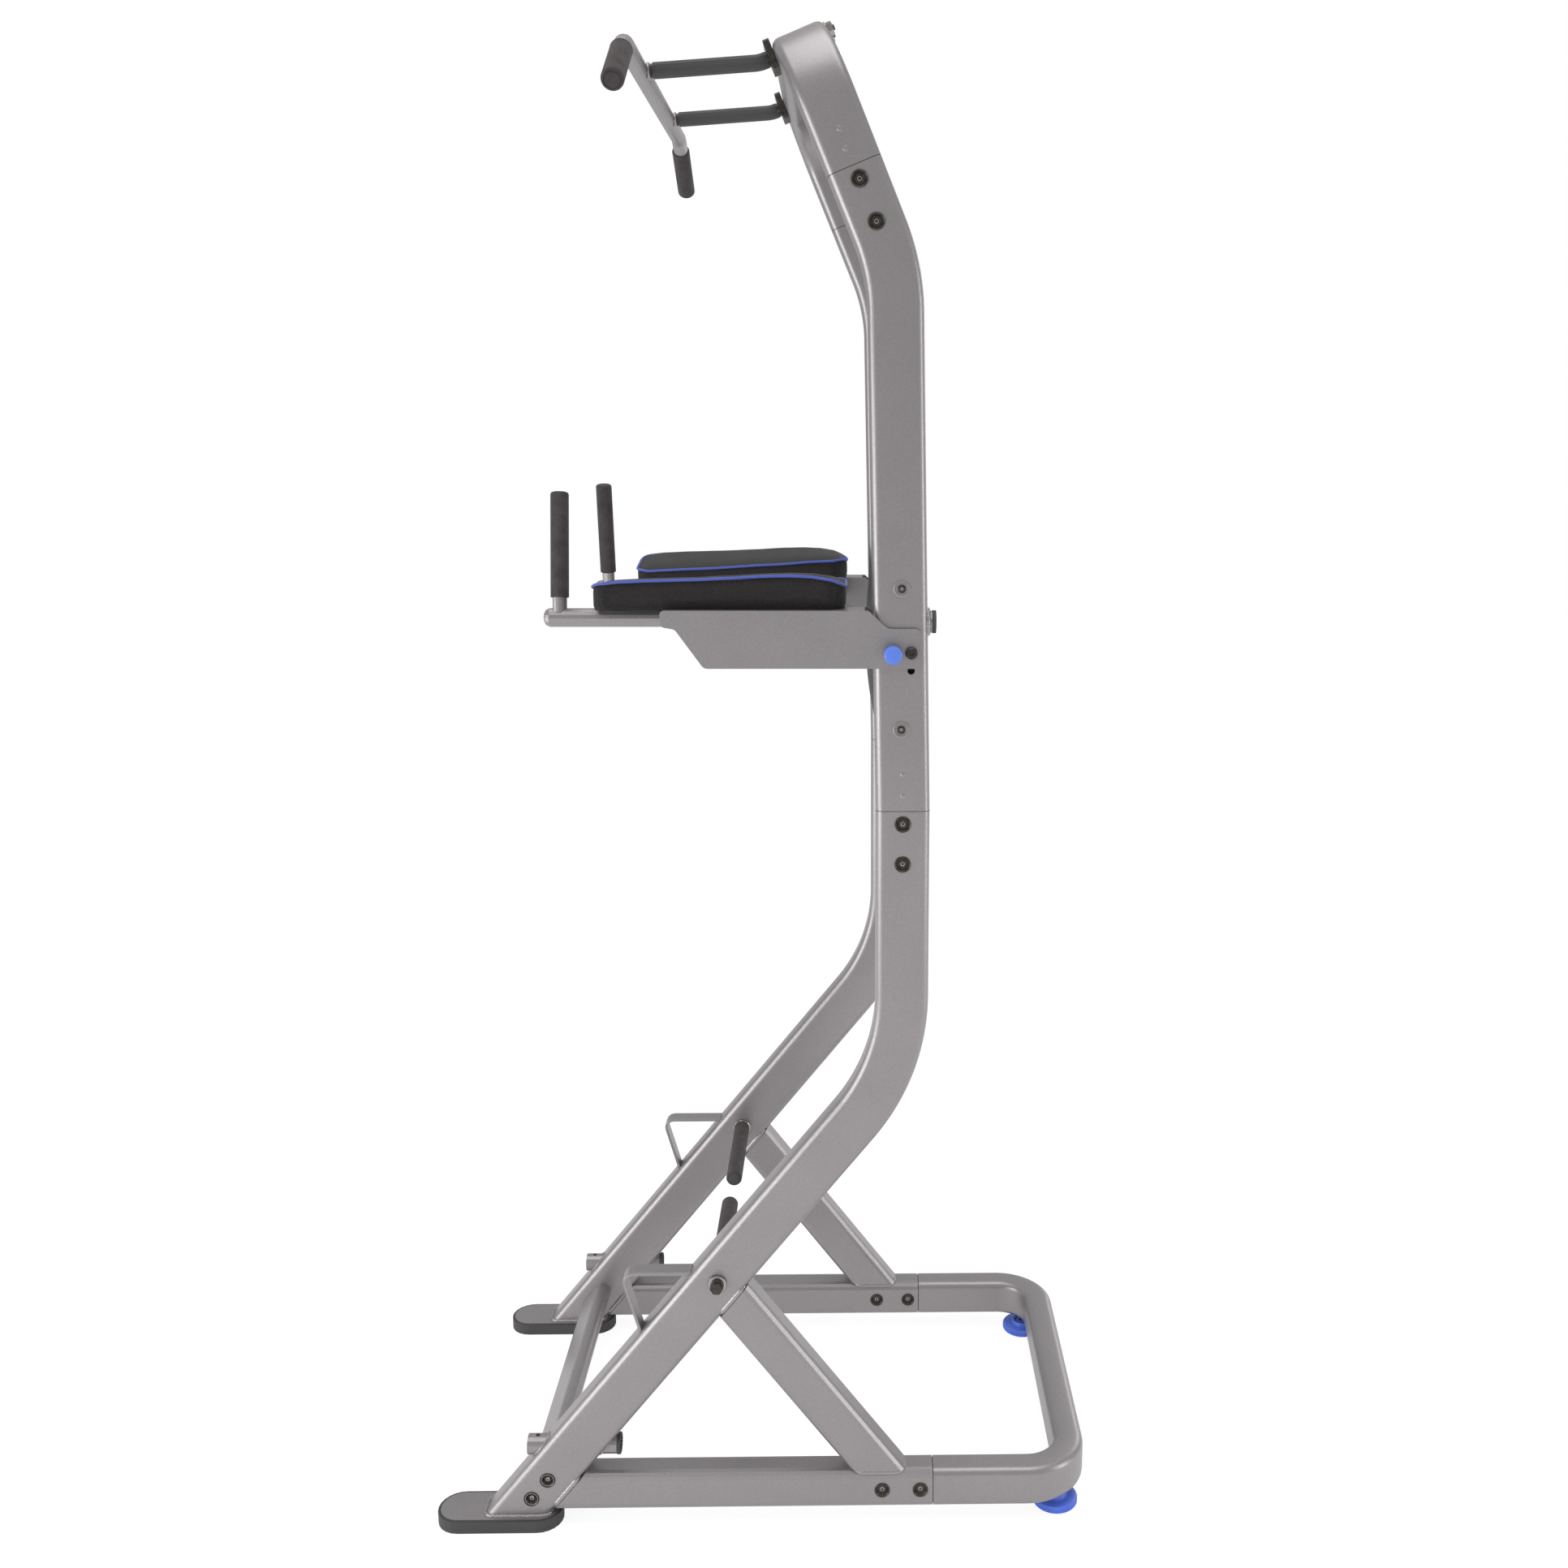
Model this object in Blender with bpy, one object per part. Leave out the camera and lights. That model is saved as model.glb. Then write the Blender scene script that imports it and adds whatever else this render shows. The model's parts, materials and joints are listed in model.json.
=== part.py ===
"""Bodyweight rack: a free-standing steel frame for pull-ups, dips and knee raises.

Lengths are in metres, +Z is up and the user stands on the -Y side. Each sub-part is one
object. While it is built, Y is 0 at the middle of the leg's upright part, and at the end
the whole rack moves along Y, so that the origin is on the floor under its middle.
"""
from math import cos, pi, radians, sin, tan

import bmesh
import bpy
from mathutils import Matrix, Vector

# Overall layout of the two side frames
HALF_SPACING = 0.285        # middle plane to the centre of each side frame
MID_JOINT_Z = 1.173         # where the upright plugs onto the leg
LEG_BEND_Z = 0.770          # height at which the leg's two centre lines cross
LEG_ANGLE = radians(50.8)   # slope of the lower leg, from the floor
LEG_BEND_RADIUS = 0.320
UPRIGHT_LEAN = radians(1)   # forward lean of the upright above the mid joint
CROWN_BEND_Z = 1.945        # height of the bend under the crown
CROWN_LEAN = radians(22.5)  # forward lean of the crown
CROWN_BEND_RADIUS = 0.300
UPPER_JOINT_RISE = 0.151    # along the crown's slope, from the bend to the joint
CROSSBAR_RISE = 0.343       # along the crown's slope, from the bend to the crossbar
CROWN_CORNER_RADIUS = 0.105
REAR_JOINT_Y = 0.053
REAR_BASE_Y = 0.281         # centre line of the rear base's cross piece
REAR_CORNER_RADIUS = 0.075
RAIL_Z = 0.060              # centre line of the rails and of the rear base

# Tubes
TUBE_WIDTH = 0.050
TUBE_DEPTH = 0.080
TUBE_CORNER = 0.012
TUBE_WALL = 0.0025
RAIL_DEPTH = 0.065
STRUT_DEPTH = 0.070
STRUT_ANGLE = radians(52.5)
STRUT_LOW_Y = -0.035        # where the strut's centre line meets the rail's top
CROSS_DEPTH = 0.070
CROSS_WIDTH = 0.030
CROSS_WALL = 0.0025
CROSS_Z = 0.067
CROSS_VENT_RADIUS = 0.005   # hole in each end plate, between its bolts
CROSS_END = 0.004           # thickness of the end plate that the bolts screw into
CROSS_PLUG = 0.030          # length of the sleeve nuts inside the cross tube

# Joint bolts and their recessed cups
BOLT_FIRST = 0.020          # from a joint to its first bolt
BOLT_PITCH = 0.061
CUP_RADIUS = 0.012
CUP_BODY_RADIUS = 0.0095
CUP_FLOOR_RADIUS = 0.0066
CUP_LIP = 0.0010
CUP_DEPTH = 0.0050
CROSS_BOLT_PITCH = 0.042
SPIGOT_IN = 0.105           # length inside the bolted tube
UPPER_SPIGOT_IN = 0.094     # shorter, to stay clear of the bend under the crown
SPIGOT_OUT = 0.080          # length inside the welded tube
UPPER_SPIGOT_OUT = 0.075
REAR_SPIGOT_OUT = 0.068
SPIGOT_WALL = 0.0025

# Feet
FOOT_Y = -0.641
FOOT_LENGTH = 0.192
FOOT_WIDTH = 0.068
FOOT_PLATE = 0.008
SOLE_HEIGHT = 0.020
SOLE_RIM = 0.004
SOLE_FLOOR = 0.013          # rubber under the steel plate
LEVELLER_INSET = 0.028      # from a side frame's centre towards the middle
LEVELLER_Y = 0.256
LEVELLER_RADIUS = 0.0365
LEVELLER_DISC = 0.013
LEVELLER_HUB = 0.019
LEVELLER_STUD_RADIUS = 0.006
LEVELLER_STUD_TOP = 0.075

# Sockets, loops and low handles
SOCKET_RADIUS = 0.016
SOCKET_WALL = 0.0025
LOW_SOCKET_Z = 0.131
LOW_SOCKET_FRONT_Y = -0.593
LOW_SOCKET_REAR_Y = -0.446
LOW_SOCKET_PIN_Y = -0.577
SOCKET_PIN_RADIUS = 0.004
REAR_SOCKET_Z = 1.451
REAR_SOCKET_FRONT_Y = -0.020
REAR_SOCKET_REAR_Y = 0.047
LOOP_TOP_Z = 0.430
LOOP_LOW_Z = 0.333
LOOP_REACH_Y = -0.436
LOOP_WIDTH = 0.030
LOOP_THICKNESS = 0.005
LOOP_BEND_RADIUS = 0.014
LOW_HANDLE_Z = 0.420
LOW_HANDLE_TIP_X = 0.045
LOW_HANDLE_RADIUS = 0.0105
LOW_GRIP_RADIUS = 0.0140
LOW_FLANGE_RADIUS = 0.0145
LOW_FLANGE = 0.004
LOW_BOLT_RADIUS = 0.006
LOW_HEAD_RADIUS = 0.0105
LOW_WASHER_RADIUS = 0.0150

# Pull-up bar
FLANGE_RISE = 0.351         # along the crown's slope, from the bend to the flanges
FLANGE_SIZE = 0.042
FLANGE_WIDTH = 0.062
FLANGE_THICKNESS = 0.009
FLANGE_BOLT_SPREAD = 0.021
FLANGE_BOLT_RADIUS = 0.004
FLANGE_NUT_RADIUS = 0.0085
FLANGE_NUT = 0.009
NEUTRAL_X = 0.175
NEUTRAL_RADIUS = 0.0100
NEUTRAL_RUN = 0.014
NEUTRAL_BEND_RADIUS = 0.050
SLEEVE_RADIUS = 0.0118
FRONT_BAR_Y = -0.378
FRONT_BAR_Z = CROWN_BEND_Z + 0.287
FRONT_BAR_RADIUS = 0.0127
FRONT_BAR_BEND_X = 0.345
FRONT_BAR_BEND_RADIUS = 0.050
FRONT_BAR_DROOP = radians(32)
FRONT_BAR_END = 0.132       # from the bend's corner to the tip
PULL_GRIP_RADIUS = 0.0152
PULL_GRIP_LENGTH = 0.105

# Fold-down arms
PIVOT_Y = 0.011
PIVOT_Z = 1.409
PIVOT_RADIUS = 0.006
PIVOT_HEAD_RADIUS = 0.0085
PIVOT_HEAD = 0.006
PIN_REACH = 0.027           # from the pivot to the lock pin
PIN_RADIUS = 0.005
PIN_TRAVEL = 0.010          # from pulled to locked
PIN_STANDOFF = 0.0006       # from the upright's face to the tip of the pulled pin
KNOB_RADIUS = 0.0130
KNOB_LENGTH = 0.022
BOSS_RADIUS = 0.0105
BOSS_LENGTH = 0.012
CHEEK_PLAY = 0.002          # from the upright's side to each cheek
CHEEK = 0.004
WEB = 0.003
CHEEK_TOP_Z = 1.470
CHEEK_LOW_Z = 1.386
CHEEK_REAR_Y = 0.026
CHEEK_BACK_TOP_Z = 1.444
CHEEK_NECK_Y = -0.013
WEB_REAR_Y = -0.051
CHEEK_NOSE_Y = -0.352
CHEEK_NOSE_Z = 1.446
CHEEK_KNEE_Y = -0.289
INNER_KNEE_Y = -0.055
INNER_KNEE_REACH_Y = -0.085
INNER_KNEE_Z = 1.430
INNER_STRIP_Y = -0.104
INNER_STRIP_Z = 1.446
ARM_TUBE_RADIUS = 0.014
ARM_TUBE_WALL = 0.0025
ARM_TUBE_Z = 1.452
ARM_TIP_Y = -0.530
ARM_TAIL_Y = -0.085
POST_Y = -0.507
POST_LEAN = radians(9.6)
POST_RADIUS = 0.0107
POST_LENGTH = 0.168
HANDLE_GRIP_RADIUS = 0.0137
HANDLE_GRIP_LENGTH = 0.156
SADDLE_Y = -0.425
SADDLE_LENGTH = 0.040
SADDLE_WIDTH = 0.022

# Arm pads and their boards
PAD_FRONT_Y = -0.454
PAD_REAR_Y = -0.082
PAD_INNER_X = 0.190
PAD_OUTER_X = 0.300
PAD_HIGH = 0.044            # outer edge, above the board's underside
PAD_LOW = 0.032             # inner edge
PAD_CORNER = 0.022
PAD_BOARD = 0.007
PAD_BOARD_INSET = 0.009

# Backrest
BACKREST_WIDTH = 0.320
BACKREST_TOP_Z = 1.532
BACKREST_LOW_Z = 1.264
BACKREST_FRONT_Y = -0.050
BACKREST_CORNER = 0.060
BACKREST_BOARD = 0.010
BACKREST_BOARD_INSET = 0.010
BACKREST_BAR_ZS = (1.501, 1.295)
BACKREST_BAR_Y = -0.003
BACKREST_BAR_RADIUS = 0.009
BACKREST_TAB = 0.004
BACKREST_TAB_WIDTH = 0.060
BACKREST_TAB_HEIGHT = 0.030

# Clearances
GAP = 0.0003                # between faces that touch
FIT = 0.0004                # round a pin or a tube in its hole

CORNER_STEPS = 3
ROUND_STEPS = 16
BOLT_STEPS = 10
X_AXIS = Vector((1, 0, 0))
Y_AXIS = Vector((0, 1, 0))
Z_AXIS = Vector((0, 0, 1))

# Directions and levels that follow from the sizes above
LEG_RISE = Vector((0, cos(LEG_ANGLE), sin(LEG_ANGLE)))
LEG_NORMAL = Vector((0, sin(LEG_ANGLE), -cos(LEG_ANGLE)))
UPRIGHT_RISE = Vector((0, -sin(UPRIGHT_LEAN), cos(UPRIGHT_LEAN)))
CROWN_BEND_Y = (MID_JOINT_Z - CROWN_BEND_Z) * tan(UPRIGHT_LEAN)
CROWN_RISE = Vector((0, -sin(CROWN_LEAN), cos(CROWN_LEAN)))
CROWN_NORMAL = Vector((0, cos(CROWN_LEAN), sin(CROWN_LEAN)))
STRUT_RISE = Vector((0, -cos(STRUT_ANGLE), sin(STRUT_ANGLE)))
RAIL_TOP_Z = RAIL_Z + RAIL_DEPTH / 2
FOOT_TOP_Z = SOLE_FLOOR + GAP + FOOT_PLATE
OUTER_FACE_X = HALF_SPACING + TUBE_WIDTH / 2
INNER_FACE_X = HALF_SPACING - TUBE_WIDTH / 2
OUTER_CHEEK_X = OUTER_FACE_X + CHEEK_PLAY
INNER_CHEEK_X = INNER_FACE_X - CHEEK_PLAY
ARM_TUBE_X = INNER_CHEEK_X - CHEEK - GAP - ARM_TUBE_RADIUS
FRONT_Y = FOOT_Y - FOOT_LENGTH / 2 - GAP - SOLE_RIM
REAR_Y = REAR_BASE_Y + TUBE_WIDTH / 2


def clear_scene():
    for obj in list(bpy.data.objects):
        bpy.data.objects.remove(obj, do_unlink=True)


def material(name, colour, roughness, metallic):
    """A plain surface of one colour, given in linear light."""
    mat = bpy.data.materials.get(name) or bpy.data.materials.new(name)
    mat.use_nodes = True
    shader = mat.node_tree.nodes["Principled BSDF"]
    shader.inputs["Base Color"].default_value = (*colour, 1.0)
    shader.inputs["Roughness"].default_value = roughness
    shader.inputs["Metallic"].default_value = metallic
    return mat


def painted_steel():
    return material("silver_paint", (0.30, 0.285, 0.275), 0.42, 0.55)


def black_foam():
    return material("grip_foam", (0.045, 0.042, 0.044), 0.85, 0.0)


def dark_steel():
    return material("dark_zinc", (0.10, 0.09, 0.085), 0.35, 0.9)


def black_rubber():
    return material("black_rubber", (0.035, 0.035, 0.037), 0.7, 0.0)


def blue_plastic():
    return material("blue_plastic", (0.09, 0.19, 0.75), 0.4, 0.0)


def pad_cover():
    return material("pad_cover", (0.05, 0.047, 0.046), 0.6, 0.0)


def birch_board():
    return material("birch_board", (0.45, 0.33, 0.20), 0.6, 0.0)


def new_object(name, mesh, surface=None):
    """Links the mesh as an object, with its faces turned outwards and shaded smooth."""
    shape = bmesh.new()
    shape.from_mesh(mesh)
    bmesh.ops.recalc_face_normals(shape, faces=shape.faces)
    shape.to_mesh(mesh)
    shape.free()
    mesh.shade_smooth()
    mesh.set_sharp_from_angle(angle=radians(35))
    obj = bpy.data.objects.new(name, mesh)
    bpy.context.scene.collection.objects.link(obj)
    if surface:
        mesh.materials.append(surface)
    return obj


def mesh_of(name, points, faces):
    mesh = bpy.data.meshes.new(name)
    mesh.from_pydata([tuple(p) for p in points], [], faces)
    mesh.update()
    return mesh


def rounded_outline(width, depth, corner, steps=CORNER_STEPS):
    """The (u, v) points of a rounded rectangle, counter-clockwise."""
    points = []
    for turn, (side, end) in enumerate(((1, 1), (-1, 1), (-1, -1), (1, -1))):
        for step in range(steps + 1):
            angle = (turn + step / steps) * pi / 2
            points.append((side * (width / 2 - corner) + corner * cos(angle),
                           end * (depth / 2 - corner) + corner * sin(angle)))
    return points


def round_outline(radius, steps=ROUND_STEPS):
    return [(radius * cos(2 * pi * i / steps), radius * sin(2 * pi * i / steps))
            for i in range(steps)]


def rounded_path(corners, radius, steps=4):
    """The corners joined by straight runs, with each inner corner rounded."""
    path = [corners[0]]
    for before, corner, after in zip(corners, corners[1:], corners[2:]):
        back = (before - corner).normalized()
        ahead = (after - corner).normalized()
        half = back.angle(ahead) / 2
        centre = corner + (back + ahead).normalized() * (radius / sin(half))
        start = corner + back * (radius / tan(half)) - centre
        end = corner + ahead * (radius / tan(half)) - centre
        sweep = start.angle(end)
        for step in range(steps + 1):
            share = step / steps
            path.append(centre + (start * sin((1 - share) * sweep)
                                  + end * sin(share * sweep)) / sin(sweep))
    path.append(corners[-1])
    return path


def rings_along(path, binormal, outline, start_cut=None, end_cut=None):
    """One ring of points for each path point; a cut is a (point, normal) plane."""
    rings = []
    last = len(path) - 1
    for index, place in enumerate(path):
        tangent = (path[min(index + 1, last)] - path[max(index - 1, 0)]).normalized()
        if 0 < index < last:
            tangent = ((place - path[index - 1]).normalized()
                       + (path[index + 1] - place).normalized()).normalized()
        normal = binormal.cross(tangent)
        ring = [place + binormal * u + normal * v for u, v in outline]
        cut = start_cut if index == 0 else end_cut if index == last else None
        if cut:
            point, facing = cut
            ring = [p + tangent * ((point - p).dot(facing) / tangent.dot(facing))
                    for p in ring]
        rings.append(ring)
    return rings


def skin_faces(rings, first, count):
    """Quads between rings of `count` points, the first ring starting at `first`."""
    faces = []
    for level in range(rings - 1):
        low = first + level * count
        for i in range(count):
            j = (i + 1) % count
            faces.append((low + i, low + j, low + count + j, low + count + i))
    return faces


def swept(name, path, binormal, outline, bore=None, start_cut=None, end_cut=None):
    """A bar along the path or, with a bore outline, a tube that is open at both ends."""
    outer = rings_along(path, binormal, outline, start_cut, end_cut)
    count = len(outline)
    points = [p for ring in outer for p in ring]
    faces = skin_faces(len(outer), 0, count)
    tail = len(points) - count
    if bore is None:
        faces += [tuple(range(count)), tuple(range(tail, tail + count))]
        return mesh_of(name, points, faces)
    inner = rings_along(path, binormal, bore, start_cut, end_cut)
    base = len(points)
    points += [p for ring in inner for p in ring]
    faces += skin_faces(len(inner), base, count)
    for start, inside in ((0, base), (tail, base + tail)):
        for i in range(count):
            j = (i + 1) % count
            faces.append((start + i, start + j, inside + j, inside + i))
    return mesh_of(name, points, faces)


def turned(name, profile, origin, axis, steps=ROUND_STEPS):
    """Revolves (radius, distance) pairs round the axis. A closed ring if none is at 0."""
    axis = axis.normalized()
    side = axis.orthogonal().normalized()
    across = axis.cross(side)
    points, rings = [], []
    for radius, along in profile:
        centre = origin + axis * along
        if radius == 0:
            rings.append([len(points)] * steps)
            points.append(centre)
            continue
        rings.append(list(range(len(points), len(points) + steps)))
        for i in range(steps):
            angle = 2 * pi * i / steps
            points.append(centre + (side * cos(angle) + across * sin(angle)) * radius)
    pairs = list(zip(rings, rings[1:]))
    if profile[0][0] and profile[-1][0]:
        pairs.append((rings[-1], rings[0]))
    faces = []
    for low, high in pairs:
        for i in range(steps):
            j = (i + 1) % steps
            corners = list(dict.fromkeys((low[i], low[j], high[j], high[i])))
            if len(corners) > 2:
                faces.append(tuple(corners))
    return mesh_of(name, points, faces)


def rod(name, start, end, radius, steps=ROUND_STEPS):
    length = (end - start).length
    profile = [(0, 0), (radius, 0), (radius, length), (0, length)]
    return turned(name, profile, start, end - start, steps)


def slab(name, outline, thickness, place, u_axis, v_axis):
    """A flat plate: the outline stands on `place` and grows along u x v."""
    normal = u_axis.cross(v_axis).normalized()
    low = [place + u_axis * u + v_axis * v for u, v in outline]
    high = [p + normal * thickness for p in low]
    count = len(outline)
    faces = skin_faces(2, 0, count) + [tuple(range(count)), tuple(range(count, 2 * count))]
    return mesh_of(name, low + high, faces)


def operand(mesh):
    """A shape that only a Boolean uses."""
    cutter = new_object(mesh.name + "_cutter", mesh)
    cutter.hide_render = True
    cutter.display_type = "WIRE"
    return cutter


def boolean(obj, mesh, operation):
    change = obj.modifiers.new(operation.title(), "BOOLEAN")
    change.operation = operation
    change.solver = "EXACT"
    change.object = operand(mesh)
    return obj


def cut(obj, meshes):
    """Cuts shapes that don't touch one another from the object, all in one go."""
    joined = bmesh.new()
    for mesh in meshes:
        joined.from_mesh(mesh)
    together = bpy.data.meshes.new(meshes[0].name)
    joined.to_mesh(together)
    joined.free()
    return boolean(obj, together, "DIFFERENCE")


def fuse(obj, meshes):
    for mesh in meshes:
        boolean(obj, mesh, "UNION")
    return obj


def side_name(side):
    return "right" if side > 0 else "left"


def axis_empty(name, place):
    empty = bpy.data.objects.new(name, None)
    empty.location = place
    bpy.context.scene.collection.objects.link(empty)
    return empty


def ride_on(obj, empty):
    """Puts the object's origin on the empty and hangs it, with its cutters, from there."""
    for piece in [obj] + [change.object for change in obj.modifiers]:
        piece.data.transform(Matrix.Translation(-empty.location))
        piece.parent = empty


def tube_outlines(width, depth, corner, wall):
    """The outer and the inner outline of a rounded rectangular tube."""
    return (rounded_outline(width, depth, corner),
            rounded_outline(width - 2 * wall, depth - 2 * wall, corner - wall))


def leg_point(side, z):
    """The centre line of the lower leg at a height below its bend."""
    return Vector((side * HALF_SPACING, (z - LEG_BEND_Z) / tan(LEG_ANGLE), z))


def crown_point(x, rise):
    """A point of the crown's middle plane, the rise measured along its slope."""
    return Vector((x, CROWN_BEND_Y, CROWN_BEND_Z)) + CROWN_RISE * rise


def mid_bolts(side):
    return [Vector((side * HALF_SPACING, 0, MID_JOINT_Z - BOLT_FIRST - i * BOLT_PITCH))
            for i in range(2)]


def upper_bolts(side):
    return [crown_point(side * HALF_SPACING, UPPER_JOINT_RISE - BOLT_FIRST - i * BOLT_PITCH)
            for i in range(2)]


def rear_bolts(side):
    return [Vector((side * HALF_SPACING, REAR_JOINT_Y - BOLT_FIRST - i * BOLT_PITCH, RAIL_Z))
            for i in range(2)]


def cross_bolts(side):
    middle = leg_point(side, CROSS_Z)
    return [middle + LEG_RISE * shift for shift in (CROSS_BOLT_PITCH / 2, -CROSS_BOLT_PITCH / 2)]


def cup_profile(start):
    """From the axis out over the cup's flared hollow and its lip, to the sleeve nut."""
    return [(0, start - CUP_DEPTH), (CUP_FLOOR_RADIUS, start - CUP_DEPTH),
            (CUP_RADIUS, start + GAP + CUP_LIP), (CUP_RADIUS, start + GAP),
            (CUP_BODY_RADIUS, start + GAP)]


def through_bolt(name, place, side):
    """A bolt and sleeve nut, with a recessed cup on both faces of the tube."""
    half = cup_profile(TUBE_WIDTH / 2)
    profile = half + [(radius, -along) for radius, along in reversed(half)]
    return turned(name, profile, place, X_AXIS * side, BOLT_STEPS)


def bolt_hole(name, place, radius=CUP_BODY_RADIUS + GAP):
    reach = X_AXIS * TUBE_WIDTH
    return rod(name, place - reach, place + reach, radius, BOLT_STEPS)


def socket_bore(name, x, z, front, rear):
    margin = Y_AXIS * 0.03
    return rod(name, Vector((x, front, z)) - margin, Vector((x, rear, z)) + margin,
               SOCKET_RADIUS + GAP)


def leg(side):
    """The bent leg, from the joint in mid height down to its foot plate."""
    name = f"leg_{side_name(side)}"
    x = side * HALF_SPACING
    foot = leg_point(side, FOOT_TOP_Z + GAP)
    path = rounded_path([Vector((x, 0, MID_JOINT_Z - GAP)), Vector((x, 0, LEG_BEND_Z)), foot],
                        LEG_BEND_RADIUS)
    outer, inner = tube_outlines(TUBE_WIDTH, TUBE_DEPTH, TUBE_CORNER, TUBE_WALL)
    obj = new_object(name, swept(name, path, X_AXIS, outer, inner, end_cut=(foot, Z_AXIS)),
                     painted_steel())
    holes = [bolt_hole(f"{name}_mid_{i}", p) for i, p in enumerate(mid_bolts(side))]
    holes += [bolt_hole(f"{name}_cross_{i}", p) for i, p in enumerate(cross_bolts(side))]
    holes.append(bolt_hole(f"{name}_handle", leg_point(side, LOW_HANDLE_Z),
                           LOW_BOLT_RADIUS + FIT))
    holes.append(socket_bore(f"{name}_socket", x, LOW_SOCKET_Z, LOW_SOCKET_FRONT_Y,
                             LOW_SOCKET_REAR_Y))
    return cut(obj, holes)


def leg_rear_plane(side):
    """The plane just behind the lower leg's rear face."""
    return leg_point(side, CROSS_Z) + LEG_NORMAL * (TUBE_DEPTH / 2 + GAP), LEG_NORMAL


def side_rail(side):
    """The rail along the floor, from the leg to the rear joint."""
    name = f"side_rail_{side_name(side)}"
    x = side * HALF_SPACING
    path = [leg_point(side, RAIL_Z), Vector((x, REAR_JOINT_Y - GAP, RAIL_Z))]
    outer, inner = tube_outlines(TUBE_WIDTH, RAIL_DEPTH, TUBE_CORNER, TUBE_WALL)
    obj = new_object(name, swept(name, path, X_AXIS, outer, inner,
                                 start_cut=leg_rear_plane(side)), painted_steel())
    return cut(obj, [bolt_hole(f"{name}_{i}", p) for i, p in enumerate(rear_bolts(side))])


def strut(side):
    """The diagonal brace from the leg's rear face down to the rail's top."""
    name = f"strut_{side_name(side)}"
    low = Vector((side * HALF_SPACING, STRUT_LOW_Y, RAIL_TOP_Z + GAP))
    outer, inner = tube_outlines(TUBE_WIDTH, STRUT_DEPTH, TUBE_CORNER, TUBE_WALL)
    mesh = swept(name, [low, low + STRUT_RISE * 0.1], X_AXIS, outer, inner,
                 start_cut=(low, Z_AXIS), end_cut=leg_rear_plane(side))
    return new_object(name, mesh, painted_steel())


def foot_plate(side):
    """The steel foot with round ends that the leg is welded on."""
    name = f"foot_plate_{side_name(side)}"
    outline = rounded_outline(FOOT_WIDTH, FOOT_LENGTH, FOOT_WIDTH / 2 - 0.0005, 6)
    place = Vector((side * HALF_SPACING, FOOT_Y, SOLE_FLOOR + GAP))
    return new_object(name, slab(name, outline, FOOT_PLATE, place, X_AXIS, Y_AXIS),
                      painted_steel())


def foot_sole(side):
    """The rubber tray under the foot plate, whose rim wraps the plate's edge."""
    name = f"foot_sole_{side_name(side)}"
    grow = 2 * (GAP + SOLE_RIM)
    outline = rounded_outline(FOOT_WIDTH + grow, FOOT_LENGTH + grow,
                              (FOOT_WIDTH + grow) / 2 - 0.0005, 6)
    place = Vector((side * HALF_SPACING, FOOT_Y, 0))
    obj = new_object(name, slab(name, outline, SOLE_HEIGHT, place, X_AXIS, Y_AXIS),
                     black_rubber())
    recess = rounded_outline(FOOT_WIDTH + 2 * GAP, FOOT_LENGTH + 2 * GAP, FOOT_WIDTH / 2, 6)
    return cut(obj, [slab(f"{name}_recess", recess, SOLE_HEIGHT, place + Z_AXIS * SOLE_FLOOR,
                          X_AXIS, Y_AXIS)])


def cross_tube():
    """The flat oval tube between the legs, with its end plugs and the bolts in them."""
    name = "cross_tube"
    end_x = INNER_FACE_X - GAP
    middle = leg_point(0, CROSS_Z)
    outer = rounded_outline(CROSS_DEPTH, CROSS_WIDTH, CROSS_WIDTH / 2 - 0.0004, 5)
    inner = rounded_outline(CROSS_DEPTH - 2 * CROSS_WALL, CROSS_WIDTH - 2 * CROSS_WALL,
                            CROSS_WIDTH / 2 - CROSS_WALL - 0.0004, 5)
    path = [middle - X_AXIS * end_x, middle + X_AXIS * end_x]
    obj = new_object(name, swept(name, path, LEG_RISE, outer, inner), painted_steel())
    joined = []
    plate = rounded_outline(CROSS_DEPTH - CROSS_WALL, CROSS_WIDTH - CROSS_WALL,
                            CROSS_WIDTH / 2 - CROSS_WALL, 5)
    for side in (1, -1):
        start = middle + X_AXIS * (side * (end_x - 0.0002) - (CROSS_END if side > 0 else 0))
        joined.append(slab(f"{name}_end_{side_name(side)}", plate, CROSS_END, start, LEG_RISE,
                           X_AXIS.cross(LEG_RISE)))
        for i, place in enumerate(cross_bolts(side)):
            profile = cup_profile(TUBE_WIDTH / 2)
            profile += [(CUP_BODY_RADIUS, -TUBE_WIDTH / 2 - GAP - CROSS_PLUG),
                        (0, -TUBE_WIDTH / 2 - GAP - CROSS_PLUG)]
            joined.append(turned(f"{name}_{side_name(side)}_{i}", profile, place,
                                 X_AXIS * side, BOLT_STEPS))
    fuse(obj, joined)
    reach = X_AXIS * (end_x + 0.01)
    return cut(obj, [rod(f"{name}_vent", middle - reach, middle + reach, CROSS_VENT_RADIUS,
                         BOLT_STEPS)])


def spigot(name, path, width, depth, bolts, side, binormal):
    """The inner sleeve of a joint, with its two bolts."""
    outer, inner = tube_outlines(width - 2 * (TUBE_WALL + GAP), depth - 2 * (TUBE_WALL + GAP),
                                 TUBE_CORNER - TUBE_WALL - GAP, SPIGOT_WALL)
    obj = new_object(name, swept(name, path, binormal, outer, inner), dark_steel())
    return fuse(obj, [through_bolt(f"{name}_bolt_{i}", p, side) for i, p in enumerate(bolts)])


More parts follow.
